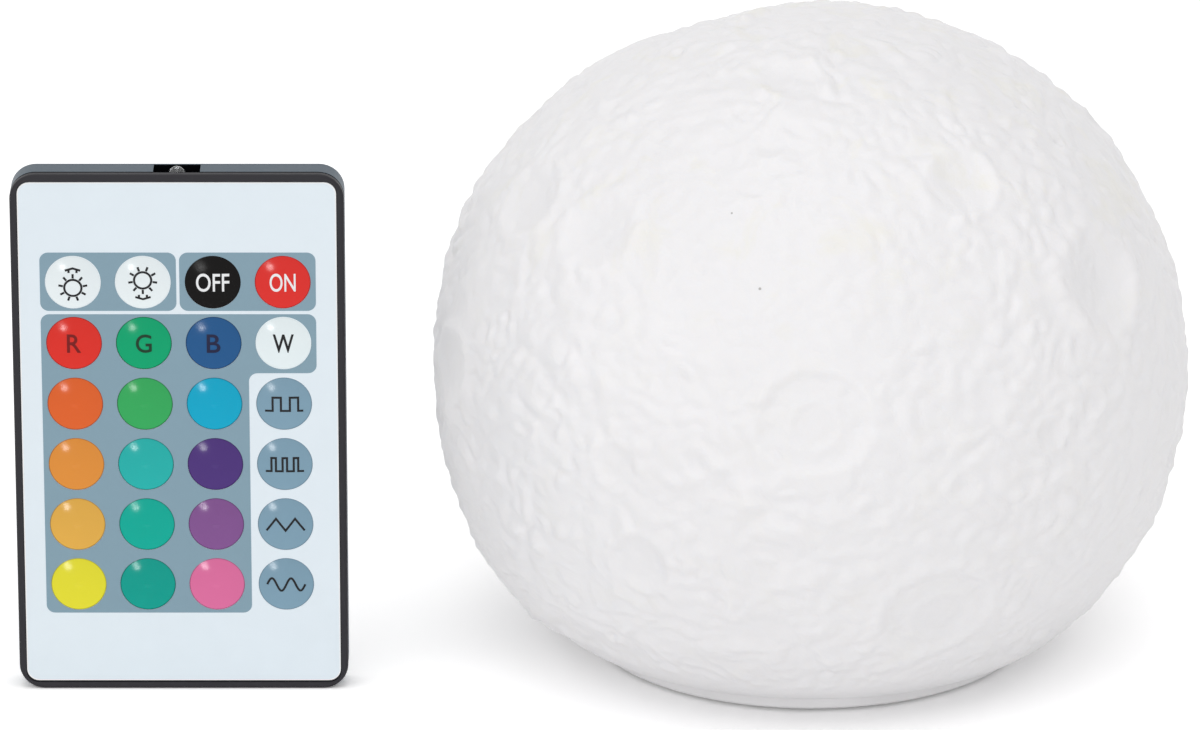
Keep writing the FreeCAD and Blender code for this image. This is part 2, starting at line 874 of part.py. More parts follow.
def remote_plate(inset, corner, z0, z1):
    width = remote_width - 2 * inset
    length = remote_length - 2 * inset
    return rounded_plate(width, length, corner, z0, z1, 0, remote_length / 2)


def key_places():
    places = {}
    for row, names in enumerate(key_rows):
        for column, name in enumerate(names):
            x = (column - (key_columns - 1) / 2) * key_pitch_across
            places[name] = (x, first_row - row * key_pitch_along)
    return places


def remote_back_case():
    inner_corner = remote_corner - remote_side_wall
    case = remote_plate(0, remote_corner, 0, remote_split)
    case = round_level_edges(case, remote_edge_round, 0)
    case = round_level_edges(case, seam_round, remote_split)
    room = remote_plate(remote_side_wall, inner_corner, remote_back_wall, remote_split + overrun)
    case = case.cut(room)
    rib_front = remote_board_back
    rib_start = tray_length + remote_side_wall
    rib_end = remote_board_end - ir_flange_radius
    side = remote_width / 2 - remote_side_wall
    ribs = [
        block(-side, -side + rib_width, rib_start, rib_end, remote_back_wall, rib_front),
        block(side - rib_width, side, rib_start, rib_end, remote_back_wall, rib_front),
    ]
    rail = tray_half + tray_side_gap
    rails = [
        block(-rail - rib_width, -rail, remote_side_wall, tray_length, remote_back_wall, rib_front),
        block(rail, rail + rib_width, remote_side_wall, tray_length, remote_back_wall, rib_front),
    ]
    case = case.fuse(ribs + rails).removeSplitter()
    tray_slot = block(
        -tray_half - tray_side_gap,
        tray_half + tray_side_gap,
        -overrun,
        remote_side_wall + overrun,
        remote_back_wall,
        remote_board_back,
    )
    window = block(
        -window_width / 2,
        window_width / 2,
        remote_length - remote_side_wall - overrun,
        remote_length + overrun,
        remote_back_wall,
        remote_split + overrun,
    )
    return stand(case.cut([tray_slot, window]))


def remote_front_case():
    seam = remote_split + seam_gap
    frame = remote_plate(0, remote_corner, seam, remote_thickness)
    frame = round_level_edges(frame, remote_edge_round, remote_thickness)
    frame = round_level_edges(frame, seam_round, seam)
    pocket = remote_plate(
        bezel_width - overlay_gap, overlay_corner, plate_front, remote_thickness + overrun
    )
    inner_corner = remote_corner - remote_side_wall
    room = remote_plate(remote_side_wall, inner_corner, remote_split - overrun, plate_back)
    holes = [
        disc(key_radius + key_gap, remote_split, remote_thickness, x, y)
        for x, y in key_places().values()
    ]
    return stand(frame.cut([pocket, room] + holes))


def keypad_overlay():
    sheet = remote_plate(bezel_width, overlay_corner, plate_front, overlay_front)
    holes = [
        disc(key_radius + key_gap, plate_front - overrun, overlay_front + overrun, x, y)
        for x, y in key_places().values()
    ]
    return stand(sheet.cut(holes))


def key(name):
    x, y = key_places()[name]
    rim = overlay_front - key_rim_drop
    body = disc(key_radius, key_back, rim, x, y)
    return stand(body.fuse(cap(key_radius, key_crown, rim, x, y)).removeSplitter())


def snap_domes():
    domes = [
        cap(snap_dome_radius, snap_dome_height, remote_split, x, y)
        for x, y in key_places().values()
    ]
    return stand(group(domes))


def remote_board():
    inset = remote_side_wall + remote_board_gap
    width = remote_width - 2 * inset
    corner = remote_corner - inset
    board = rounded_plate(
        width,
        remote_board_end - inset,
        corner,
        remote_board_back,
        remote_split,
        0,
        (inset + remote_board_end) / 2,
    )
    return stand(board)


def coin_tray():
    low = tray_back
    high = tray_front
    body = block(-tray_half, tray_half, 0, tray_length, low, high)
    hole = disc(coin_radius + coin_play, low - overrun, high + overrun, 0, coin_centre)
    slit_x = tray_half - tray_slit_width - tray_wall / 4
    slit = block(
        slit_x,
        slit_x + tray_slit_width / 2,
        tray_end,
        tray_end + tray_slit_length,
        low - overrun,
        high + overrun,
    )
    grip = block(
        -tray_grip_width / 2,
        tray_grip_width / 2,
        -overrun,
        tray_grip_depth,
        (low + high - tray_grip_height) / 2,
        (low + high + tray_grip_height) / 2,
    )
    return stand(body.cut([hole, slit, grip]))


def coin_cell():
    low = remote_back_wall + coin_play
    can = disc(coin_radius, low, low + coin_thickness - coin_cap_step, 0, coin_centre)
    can = round_level_edges(can, coin_cap_step, low)
    lid = disc(
        coin_cap_radius,
        low + coin_thickness - coin_cap_step,
        low + coin_thickness,
        0,
        coin_centre,
    )
    return stand(can.fuse(lid).removeSplitter())


def coin_contacts():
    # Two thin leaves on the back of the board: one over the cell's lid, one over its rim
    front = remote_board_back
    back = front - leaf_thickness
    middle = block(
        -leaf_width / 2, leaf_width / 2, coin_centre, coin_centre + leaf_length, back, front
    )
    rim_x = tray_half - tray_wall
    rim_y = coin_centre + coin_radius - leaf_width
    rim = block(rim_x - leaf_length, rim_x, rim_y, rim_y + leaf_width, back, front)
    return stand(group([middle, rim]))


def ir_led():
    tip = remote_length + ir_proud
    base = remote_board_end + ir_leg_side
    along = Vector(0, 1, 0)
    barrel = Part.makeCylinder(ir_radius, tip - ir_radius - base, Vector(0, base, ir_axis), along)
    lens = Part.makeSphere(ir_radius, Vector(0, tip - ir_radius, ir_axis))
    flange = Part.makeCylinder(
        ir_flange_radius, ir_flange_length, Vector(0, base, ir_axis), along
    )
    solid = barrel.fuse([lens, flange])
    for side in (-1, 1):
        x = side * ir_leg_pitch / 2
        run = block(
            x - ir_leg_side / 2,
            x + ir_leg_side / 2,
            base - ir_leg_length,
            base,
            ir_axis - ir_leg_side / 2,
            ir_axis + ir_leg_side / 2,
        )
        rise = block(
            x - ir_leg_side / 2,
            x + ir_leg_side / 2,
            base - ir_leg_length,
            base - ir_leg_length + ir_leg_side,
            ir_axis - ir_leg_side / 2,
            remote_board_back,
        )
        solid = solid.fuse([run, rise])
    return stand(solid.removeSplitter())


def remote_chip():
    y = blob_share * remote_length
    dome = cap(blob_radius, blob_height, 0, 0, y)
    dome.rotate(Vector(0, y, 0), Vector(0, 1, 0), 180)
    dome.translate(Vector(0, 0, remote_board_back))
    return stand(dome)


def remote_resonator():
    body = centred_block(
        resonator_length,
        resonator_width,
        remote_board_back - resonator_height,
        remote_board_back,
        resonator_aside,
        resonator_share * remote_length,
    )
    return stand(round_upright_edges(body, resonator_width / 4))


def build():
    nodes = {
        "moon_shell": moon_shell(),
        "seal_ring": seal_ring(),
        "base_housing": base_housing(),
        "foot_ring": foot_ring(),
        "battery_cover": battery_cover(),
        "cover_screw_front": cover_screw(-1),
        "cover_screw_back": cover_screw(1),
        "battery_cells": battery_cells(),
        "battery_contacts": battery_contacts(),
        "battery_springs": battery_springs(),
        "led_deck": led_deck(),
        "deck_screws": deck_screws(),
        "light_board": light_board(),
        "board_screws": board_screws(),
        "colour_leds": colour_leds(),
        "ir_receiver": ir_receiver(),
        "control_chip": control_chip(),
        "board_parts": board_parts(),
        "switch_body": switch_body(),
        "switch_knob": switch_knob(),
        "remote_back_case": remote_back_case(),
        "remote_front_case": remote_front_case(),
        "keypad_overlay": keypad_overlay(),
        "snap_domes": snap_domes(),
        "remote_board": remote_board(),
        "remote_chip": remote_chip(),
        "remote_resonator": remote_resonator(),
        "remote_ir_led": ir_led(),
        "coin_contacts": coin_contacts(),
        "coin_tray": coin_tray(),
        "coin_cell": coin_cell(),
    }
    routes = lead_routes()
    nodes["lead_plus"] = tube(routes["plus"], lead_radius)
    nodes["lead_minus"] = tube(routes["minus"], lead_radius)
    nodes["switch_leads"] = group(
        [tube(routes["switch_front"], lead_radius), tube(routes["switch_back"], lead_radius)]
    )
    for row in key_rows:
        for name in row:
            nodes["key_" + name] = key(name)
    return nodes


os.makedirs("parts", exist_ok=True)
for node, shape in build().items():
    shape.exportStep(os.path.join("parts", node + ".step"))
    solids = shape.Solids
    sound = all(solid.isValid() and solid.Volume > 0 for solid in solids)
    print(node, len(solids), "solid(s)", round(sum(s.Volume for s in solids), 2), "mm3", sound)
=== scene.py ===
import math
import random

import bmesh
import bpy
import numpy as np
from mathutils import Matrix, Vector, noise


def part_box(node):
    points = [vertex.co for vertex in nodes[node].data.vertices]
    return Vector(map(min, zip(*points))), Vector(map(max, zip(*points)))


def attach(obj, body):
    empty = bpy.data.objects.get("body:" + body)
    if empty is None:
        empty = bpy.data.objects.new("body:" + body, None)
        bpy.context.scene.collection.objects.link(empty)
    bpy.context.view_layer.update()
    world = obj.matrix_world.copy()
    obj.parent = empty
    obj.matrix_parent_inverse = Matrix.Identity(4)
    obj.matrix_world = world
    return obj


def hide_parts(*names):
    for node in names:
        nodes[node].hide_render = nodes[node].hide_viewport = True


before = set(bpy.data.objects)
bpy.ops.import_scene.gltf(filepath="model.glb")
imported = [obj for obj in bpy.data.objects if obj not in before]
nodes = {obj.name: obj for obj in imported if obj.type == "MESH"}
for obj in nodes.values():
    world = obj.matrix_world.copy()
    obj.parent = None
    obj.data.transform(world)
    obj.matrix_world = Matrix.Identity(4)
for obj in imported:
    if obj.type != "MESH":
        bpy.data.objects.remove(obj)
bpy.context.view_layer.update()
mm = 0.001
noise.seed_set(11)  # else noise_vector would differ from run to run


# The camera looks a little down on the front of the lamp, from a good way off
cameraLook = {
    "target": (-0.0335, -0.0056, 0.0474), "distance": 1.5, "elevation": 20.13, "lens": 283.9,
    "sensor": 36.0, "nearest": 0.05, "farthest": 60,
}


def addCamera(look):
    data = bpy.data.cameras.new("camera")
    data.lens = look["lens"]
    data.sensor_width = look["sensor"]
    data.sensor_fit = "HORIZONTAL"
    data.clip_start = look["nearest"]
    data.clip_end = look["farthest"]
    camera = bpy.data.objects.new("camera", data)
    rise = math.radians(look["elevation"])
    back = Vector((0, -math.cos(rise), math.sin(rise)))
    camera.location = Vector(look["target"]) + back * look["distance"]
    camera.rotation_euler = (math.pi / 2 - rise, 0, 0)
    bpy.context.scene.collection.objects.link(camera)
    bpy.context.scene.camera = camera


addCamera(cameraLook)
print("camera ready")


# Node helpers. What a look doesn't name comes from plainLook. Sizes and depths are in
# millimetres, and colours as seen on a screen, 0 to 255.

plainLook = {
    "gloss": 0.4, "glossSwing": 0.06, "driftSize": 9, "drift": 0.035, "grain": 0.35,
    "depth": 0.012, "metal": 0, "sheen": 0.5,
    "shader": {},
}
zoneGrain, zoneShades = 0.4, (0.93, 1.05)
noiseSpan = (0.3, 0.7)  # nearly all values of a noise


def screen(red, green, blue):
    # The linear colour that shaders take
    def straight(value):
        share = value / 255
        return share / 12.92 if share <= 0.04045 else ((share + 0.055) / 1.055) ** 2.4
    return (straight(red), straight(green), straight(blue), 1)


def shaded(colour, factor):
    return tuple(min(1, channel * factor) for channel in colour[:3]) + (1,)


def add(tree, kind, inputs=None, **settings):
    node = tree.nodes.new("ShaderNode" + kind)
    for name, value in settings.items():
        setattr(node, name, value)
    for name, value in (inputs or {}).items():
        if isinstance(value, bpy.types.NodeSocket):
            tree.links.new(value, node.inputs[name])
        else:
            node.inputs[name].default_value = value
    return node


def calculate(tree, operation, first, second=0.0, third=0.0):
    node = add(tree, "Math", {0: first, 1: second, 2: third}, operation=operation)
    return node.outputs[0]


def product(tree, first, *others):
    for other in others:
        first = calculate(tree, "MULTIPLY", first, other)
    return first


def highest(tree, first, *others):
    for other in others:
        first = calculate(tree, "MAXIMUM", first, other)
    return first


# Masks, 1 where the words hold and 0 elsewhere


def isOver(tree, value, limit):
    return calculate(tree, "GREATER_THAN", value, limit)


def isUnder(tree, value, limit):
    return calculate(tree, "LESS_THAN", value, limit)


def isBetween(tree, value, low, high):
    return product(tree, isOver(tree, value, low), isUnder(tree, value, high))


def isNear(tree, place, spot, reach):
    gap = add(tree, "VectorMath", {0: place, 1: spot}, operation="DISTANCE").outputs[1]
    return isUnder(tree, gap, reach)


def sizeOf(tree, value, middle=0.0):
    # How far the value is from the middle, on either side
    if middle:
        value = calculate(tree, "SUBTRACT", value, middle)
    return calculate(tree, "ABSOLUTE", value)


def blendColours(tree, factor, first, second):
    node = add(tree, "Mix", {0: factor, 6: first, 7: second}, data_type="RGBA")
    return node.outputs[2]


def ramp(tree, value, low, high, start=0.0, end=1.0):
    # value from low to high becomes start to end, and stays within them
    limits = {"Value": value, "From Min": low, "From Max": high, "To Min": start, "To Max": end}
    return add(tree, "MapRange", limits).outputs[0]


def grainAt(tree, place, size, detail=3.0, roughness=0.55, distortion=0.0):
    # Noise with features of about this size
    look = {
        "Vector": place,
        "Scale": 1 / (size * mm),
        "Detail": detail,
        "Roughness": roughness,
        "Distortion": distortion,
    }
    return add(tree, "TexNoise", look).outputs[0]


def shadesOf(tree, pattern, colour, darkest, brightest):
    # The colour, darker where the pattern is low and brighter where it is high
    share = ramp(tree, pattern, *noiseSpan)
    return blendColours(tree, share, shaded(colour, darkest), shaded(colour, brightest))


def raised(tree, height, depth, normal=None):
    inputs = {"Height": height, "Distance": depth * mm, "Strength": 1.0}
    if normal:
        inputs["Normal"] = normal
    return add(tree, "Bump", inputs).outputs[0]


def axes(tree, place):
    return add(tree, "SeparateXYZ", {0: place}).outputs


def objectPlace(tree):
    for node in tree.nodes:
        if node.type == "TEX_COORD":
            return node.outputs["Object"]
    return add(tree, "TexCoord").outputs["Object"]


def feed(tree, socket, value):
    tree.links.new(value, tree.nodes["Principled BSDF"].inputs[socket])


def fedBy(tree, socket):
    # What feeds this socket of the shader so far
    return tree.nodes["Principled BSDF"].inputs[socket].links[0].from_socket


def finish(name, look):
    # A moulded, pressed or printed surface: the colour drifts a little, the gloss varies, and a
    # fine grain stands on it
    look = {**plainLook, **look}
    material = bpy.data.materials.new(name)
    material.use_nodes = True
    tree = material.node_tree
    place = objectPlace(tree)
    if "stretch" in look:
        place = add(tree, "Mapping", {"Vector": place, "Scale": look["stretch"]}).outputs[0]
    drift = grainAt(tree, place, look["driftSize"], 4)
    grain = grainAt(tree, place, look["grain"], 3)
    spread = look["drift"]
    colour = screen(*look["colour"])
    feed(tree, "Base Color", shadesOf(tree, drift, colour, 1 - spread, 1 + spread))
    gloss, swing = look["gloss"], look["glossSwing"]
    mixed = calculate(tree, "MULTIPLY_ADD", grain, 0.5, product(tree, drift, 0.5))
    feed(tree, "Roughness", ramp(tree, mixed, *noiseSpan, gloss - swing, gloss + swing))
    normal = raised(tree, grain, look["depth"])
    if "wave" in look:
        normal = raised(tree, drift, look["wave"], normal)
    feed(tree, "Normal", normal)
    shader = {"Metallic": look["metal"], "Specular IOR Level": look["sheen"], **look["shader"]}
    for socket, value in shader.items():
        tree.nodes["Principled BSDF"].inputs[socket].default_value = value
    return material


def secondZone(tree, mask, look):
    # Where mask is 1 the surface takes this other colour, gloss and metal
    fine = grainAt(tree, objectPlace(tree), zoneGrain)
    other = shadesOf(tree, fine, screen(*look["colour"]), *zoneShades)
    feed(tree, "Base Color", blendColours(tree, mask, fedBy(tree, "Base Color"), other))
    rough = fedBy(tree, "Roughness")
    share = ramp(tree, mask, 0, 1)
    step = calculate(tree, "SUBTRACT", look["gloss"], rough)
    feed(tree, "Roughness", calculate(tree, "MULTIPLY_ADD", step, share, rough))
    if "metal" in look:
        feed(tree, "Metallic", share)


def raiseMore(tree, height, depth):
    # Relief on top of what the surface has so far
    feed(tree, "Normal", raised(tree, height, depth, fedBy(tree, "Normal")))


def dress(name, material):
    for slot in nodes[name].material_slots:
        slot.material = material


# Drawing helpers, in millimetres

printSunk = 0.01
mitreLimit = 0.35
letterSize = 4
weldReach, cutReach = 0.002, 0.0001
toRight, toBack, upward = Vector((1, 0, 0)), Vector((0, 1, 0)), Vector((0, 0, 1))


def middleOf(name):
    low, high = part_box(name)
    return (low + high) / 2


def roundedOutline(corners, radius, steps=7):
    points = []
    befores, afters = corners[-1:] + corners[:-1], corners[1:] + corners[:1]
    for before, corner, after in zip(befores, corners, afters):
        corner = Vector(corner)
        back = (Vector(before) - corner).normalized()
        ahead = (Vector(after) - corner).normalized()
        centre = corner + (back + ahead) * radius
        first = corner + back * radius - centre
        last = corner + ahead * radius - centre
        for step in range(steps + 1):
            angle = math.pi / 2 * step / steps
            points.append(centre + first * math.cos(angle) + last * math.sin(angle))
    return [tuple(point) for point in points]


def circle(x, y, radius, count=64):
    turns = [2 * math.pi * step / count for step in range(count)]
    return [(x + radius * math.cos(t), y + radius * math.sin(t)) for t in turns]


def stroke(points, width):
    # Outline of a line of this width through the points, with mitred corners
    points = [Vector(point) for point in points]
    left, right = [], []
    for index, point in enumerate(points):
        before = (point - points[index - 1]).normalized() if index else None
        after = (points[index + 1] - point).normalized() if index + 1 < len(points) else None
        before, after = before or after, after or before
        along = (before + after).normalized()
        side = Vector((-along.y, along.x))
        reach = width / 2 / max(mitreLimit, side.dot(Vector((-before.y, before.x))))
        left.append(point + side * reach)
        right.append(point - side * reach)
    return [tuple(point) for point in left + right[::-1]]


def moved(outline, x, y):
    return [(a + x, b + y) for a, b in outline]


def rectangle(x, y, width, height):
    corners = ((-1, -1), (1, -1), (1, 1), (-1, 1))
    return [(x + across * width / 2, y + along * height / 2) for across, along in corners]


def flatMesh(outlines, thickness):
    curve = bpy.data.curves.new("outline", "CURVE")
    curve.dimensions = "2D"
    curve.fill_mode = "BOTH"
    curve.extrude = thickness / 2
    for outline in outlines:
        spline = curve.splines.new("POLY")
        spline.points.add(len(outline) - 1)
        for point, (x, y) in zip(spline.points, outline):
            point.co = (x, y, 0, 1)
        spline.use_cyclic_u = True
    return meshOf(curve)


def wordMesh(text, width, height, thickness, weight=0.0, x=0, y=0):
    # The word, stretched to this width and height round x and y
    curve = bpy.data.curves.new("word", "FONT")
    curve.body = text
    curve.align_x = "CENTER"
    curve.extrude = thickness / 2
    curve.size = letterSize
    curve.offset = weight
    curve.resolution_u = 6
    mesh = meshOf(curve)
    spots = np.array([vertex.co[:] for vertex in mesh.vertices])
    low, high = spots.min(0), spots.max(0)
    for vertex in mesh.vertices:
        vertex.co.x = (vertex.co.x - (low[0] + high[0]) / 2) * width / (high[0] - low[0]) + x
        vertex.co.y = (vertex.co.y - (low[1] + high[1]) / 2) * height / (high[1] - low[1]) + y
    return mesh


def meshOf(curve):
    holder = bpy.data.objects.new(curve.name, curve)
    mesh = bpy.data.meshes.new_from_object(holder)
    bpy.data.objects.remove(holder)
    bpy.data.curves.remove(curve)
    return mesh


def cutAlongGrid(mesh, pitch):
    # Welds the mesh, and cuts its faces along a grid so that they can follow a dome
    shape = bmesh.new()
    shape.from_mesh(mesh)
    bmesh.ops.remove_doubles(shape, verts=shape.verts, dist=weldReach)
    if pitch:
        reach = max(abs(value) for vertex in shape.verts for value in vertex.co[:2])
        count = math.ceil(reach / pitch)
        for step in range(-count, count + 1):
            for normal in ((1, 0, 0), (0, 1, 0)):
                bmesh.ops.bisect_plane(
                    shape,
                    geom=shape.verts[:] + shape.edges[:] + shape.faces[:],
                    plane_co=Vector(normal) * step * pitch,
                    plane_no=normal,
                    dist=cutReach,
                )
    bmesh.ops.recalc_face_normals(shape, faces=shape.faces)
    shape.to_mesh(mesh)
    shape.free()
    return mesh


def onPlane(spot, acrossWay, alongWay, outWay):
    # Gives the function that puts a print's point on a plane. The ways are the directions across
    # the print, up its height and out of the surface.
    return lambda across, along, out: spot + mm * (
        acrossWay * across + alongWay * along + outWay * out
    )


def layPrint(name, meshes, material, spotOf, body, proud=None):
    # Joins flat meshes into one thin print, each of whose points goes where spotOf says. The inner
    # side lies a little under the surface, or the outer side stands proud of it by this much.
    shape = bmesh.new()
    for mesh in meshes:
        shape.from_mesh(mesh)
    bmesh.ops.recalc_face_normals(shape, faces=shape.faces)
    depths = [vertex.co.z for vertex in shape.verts]
    shift = -min(depths) - printSunk if proud is None else proud - max(depths)
    for vertex in shape.verts:
        across, along, out = vertex.co
        vertex.co = spotOf(across, along, out + shift)
    whole = bpy.data.meshes.new(name)
    shape.to_mesh(whole)
    shape.free()
    whole.materials.clear()
    whole.materials.append(material)
    piece = bpy.data.objects.new(name, whole)
    bpy.context.scene.collection.objects.link(piece)
    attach(piece, body)
    return piece


# Floor, background and light


stageLook = {
    "floor": 12.0, "floorColour": 0.85, "floorGain": 0.38, "floorGlow": 0.03, "skyLight": 0.68,
    # Strength, spread in degrees and where it comes from. The small low one makes the glints on the
    # keys, and the floor lets it pass.
    "lamps": {
        "front_light": (0.305, 40.0, (-0.05, -1.0, 0.25)),
        "left_light": (0.20, 40.0, (-0.8, -0.6, 0.7)),
        "top_light": (0.46, 40.0, (0.0, -0.15, 1.0)),
        "glint_light": (0.19, 4.0, (-0.171, -0.973, -0.156)),
    },
}
white = (1, 1, 1, 1)


def seenDirectly(tree):
    # 1 for rays from the camera, from a mirror or through something clear
    path = add(tree, "LightPath").outputs
    kinds = [path[f"Is {kind} Ray"] for kind in ("Camera", "Transmission", "Glossy")]
    return highest(tree, *kinds)


def merged(tree, kind, *parts):
    # Adds or mixes shaders, the first input of a mix being its share
    inputs = {place: getattr(part, "outputs", [part])[0] for place, part in enumerate(parts)}
    return add(tree, kind + "Shader", inputs)


def addFloor(look):
    mesh = bpy.data.meshes.new("floor")
    half = look["floor"]
    corners = [(x, y, 0) for x, y in rectangle(0, 0, 2 * half, 2 * half)]
    mesh.from_pydata(corners, [], [(0, 1, 2, 3)])
    floor = bpy.data.objects.new("floor", mesh)
    bpy.context.scene.collection.objects.link(floor)
    floor.visible_shadow = False
    material = bpy.data.materials.new("floor_paper")
    material.use_nodes = True
    tree = material.node_tree
    tree.nodes.clear()
    # Lit paper that looks brighter than it is, so that it is white but keeps the shadows
    grey, gain = look["floorColour"], look["floorGain"]
    paper = add(tree, "BsdfDiffuse", {"Color": (grey, grey, grey, 1)})
    bright = add(tree, "BsdfDiffuse", {"Color": white})
    brighter = add(tree, "BsdfDiffuse", {"Color": (gain, gain, gain, 1)})
    glow = add(tree, "Emission", {"Color": white, "Strength": look["floorGlow"]})
    lit = merged(tree, "Add", merged(tree, "Add", bright, brighter), glow)
    top = merged(tree, "Mix", seenDirectly(tree), paper, lit)
    below = add(tree, "NewGeometry").outputs["Backfacing"]
    both = merged(tree, "Mix", below, top, add(tree, "BsdfTransparent"))
    add(tree, "OutputMaterial", {"Surface": both.outputs[0]})
    mesh.materials.append(material)


def addSky(look):
    world = bpy.data.worlds.new("studio")
    bpy.context.scene.world = world
    world.use_nodes = True
    tree = world.node_tree
    tree.nodes.clear()
    light = add(tree, "Background", {"Color": white, "Strength": look["skyLight"]})
    plain = add(tree, "Background", {"Color": white, "Strength": 1.0})
    mixed = merged(tree, "Mix", seenDirectly(tree), light, plain)
    add(tree, "OutputWorld", {"Surface": mixed.outputs[0]})


def addLamp(name, strength, spread, origin):
    data = bpy.data.lights.new(name, "SUN")
    data.energy = strength
    data.angle = math.radians(spread)
    sun = bpy.data.objects.new(name, data)
    sun.rotation_euler = (-Vector(origin)).to_track_quat("-Z", "Y").to_euler()
    bpy.context.scene.collection.objects.link(sun)


bpy.context.scene.view_settings.view_transform = "Standard"
addFloor(stageLook)
addSky(stageLook)
for name, lamp in stageLook["lamps"].items():
    addLamp(name, *lamp)
print("stage and light ready")


# Moon shell: a moulded ball with craters and a lumpy skin. Lengths are in millimetres. A crater is
# its turn and height in degrees, its radius and depth as shares of the ball's radius, and how much
# of its radius the wall takes.


moonLook = {
    "halfHeight": 57.2, "wall": 1.8, "hollow": 2.1, "deepest": 1.75, "lip": 6.0,
    "edgeRise": 3.0, "edgeReach": 3.4, "edgeSteps": 8, "edgeEase": 5.0, "columns": 720,
    "rows": 340, "innerRows": 30, "inset": 0.16,
    # Lift of each layer of the skin, and how often its noise repeats over the ball's radius
    "swell": (0.30, 2.3), "roll": (0.34, 8.5),
    "bumps": [(0.95, 13), (0.78, 19)],
    "fine": (0.09, 41), "bend": (0.03, 6), "softness": 0.11, "bumpLevel": 0.24,
    # The lumps are rougher in some places: least share, what comes on top, then that part's
    # middle, swing and repeat
    "rough": (0.75, 0.25, 0.6, 1.6, 2.1),
    # Where the skin is smoother: turn, height, reach in degrees, and by how much
    "calm": (-95.0, 30.0, 24.0, 0.26),
    # How much of the skin's lumps is left inside these craters
    "floorLumps": 0.45,
    # Crater rims: where they stand, in radii, then width and height with what the wall's share and
    # the unevenness add to them
    "rimPlace": 1.05, "rimWidth": (0.10, 0.13), "rimHeight": (0.30, 0.22), "bowl": 0.66,
    "uneven": 0.28, "unevenSize": 0.7, "craterReach": 2.1, "craterDepth": 1.5,
    "smallCraters": 110, "smallHeights": (-0.62, 0.99), "smallRadius": (0.02, 0.035),
    "smallDepth": (0.0025, 0.0055), "smallWall": 0.85, "sharp": 48,
    "craters": [
        (-90.6, 11.4, 0.153, 0.0068, 0.24), (-90.6, 10.9, 0.065, 0.0038, 0.35),
        (-70.1, -23.7, 0.160, 0.0105, 0.26), (-68.5, -25.0, 0.090, 0.0055, 0.40),
        (-118.4, -14.9, 0.092, 0.0120, 0.50), (-35.4, 25.5, 0.150, 0.0250, 0.90),
        (-157.0, 36.3, 0.120, 0.0140, 0.70), (-134.5, 36.0, 0.120, 0.0130, 0.75),
        (-56.9, 46.9, 0.100, 0.0150, 0.80), (-52.8, 5.4, 0.050, 0.0080, 0.80),
        (-43.6, 8.0, 0.045, 0.0070, 0.80), (-163.0, 6.0, 0.110, 0.0120, 0.80),
        (-121.5, 1.5, 0.065, 0.0080, 0.70), (-113.0, 16.0, 0.052, 0.0060, 0.70),
        (-99.0, -26.5, 0.080, 0.0055, 0.60), (-100.0, 70.0, 0.085, 0.0060, 0.60),
        (17.0, 14.0, 0.150, 0.0120, 0.45), (76.0, -12.0, 0.115, 0.0100, 0.60),
        (114.0, 29.0, 0.165, 0.0110, 0.35), (152.0, 2.0, 0.090, 0.0100, 0.70),
        (138.0, -27.0, 0.080, 0.0090, 0.60), (52.0, 50.0, 0.105, 0.0110, 0.65),
        (2.0, -24.0, 0.082, 0.0090, 0.60), (-12.0, 44.0, 0.070, 0.0090, 0.75),
        (176.0, -26.0, 0.070, 0.0090, 0.70), (88.0, 12.0, 0.050, 0.0080, 0.60),
    ],
    # Places where the whole ball stands out or in a little: turn, height, reach in degrees, lift
    "swellings": [
        (-30.0, 36.0, 22.0, 0.3),
        (-166.0, -33.0, 15.0, 1.5),
        (-14.0, -32.0, 12.0, 0.4),
        (130.0, 64.0, 11.0, -1.6),
        (153.0, 51.0, 9.0, 0.5),
        (169.0, 28.0, 9.0, 0.6),
        (16.0, 37.0, 8.0, 0.5),
        (5.0, 14.0, 14.0, -0.4),
    ],
}


def aim(turn, height):
    turn, height = math.radians(turn), math.radians(height)
    flat = math.cos(height)
    return np.array((flat * math.cos(turn), flat * math.sin(turn), math.sin(height)))


def chordTo(directions, turn, height):
    return np.sqrt(np.maximum(0, 2 - 2 * directions @ aim(turn, height)))


def fading(directions, turn, height, reach):
    # 1 at this place on the ball, falling to 0 over about the reach in degrees
    away = np.degrees(np.arccos(np.clip(directions @ aim(turn, height), -1, 1)))
    return np.exp(-((away / reach) ** 2))


def eased(share):
    return share * share * (3 - 2 * share)


def craterRelief(directions, craters, look, radius):
    # Bowls with uneven outlines and soft raised rims
    relief = np.zeros(len(directions))
    rimWidth, rimHeight = look["rimWidth"], look["rimHeight"]
    for turn, height, radiusShare, depthShare, wall in craters:
        away = chordTo(directions, turn, height)
        near = np.flatnonzero(away < radiusShare * look["craterReach"])
        scale = look["unevenSize"]
        spots = [Vector(spot) * scale / radiusShare for spot in directions[near]]
        uneven = np.array([noise.noise(spot) for spot in spots])
        reach = away[near] / radiusShare * (1 + look["uneven"] * wall * uneven)
        bowl = eased(np.clip((1.0 - reach) / wall, 0, 1))
        fromRim = (reach - look["rimPlace"]) / (rimWidth[0] + rimWidth[1] * wall)
        rim = np.exp(-fromRim ** 2) * (rimHeight[0] + rimHeight[1] * uneven)
        relief[near] += radius * depthShare * (rim - look["bowl"] * bowl)
    return relief


def scatteredCraters(look):
    dice = random.Random(11)
    craters = []
    least, extra = look["smallRadius"]
    for _ in range(look["smallCraters"]):
        turn = dice.uniform(-180, 180)
        height = math.degrees(math.asin(dice.uniform(*look["smallHeights"])))
        radiusShare = least + extra * dice.random() ** 2
        depthShare = dice.uniform(*look["smallDepth"])
        craters.append((turn, height, radiusShare, depthShare, look["smallWall"]))
    return craters


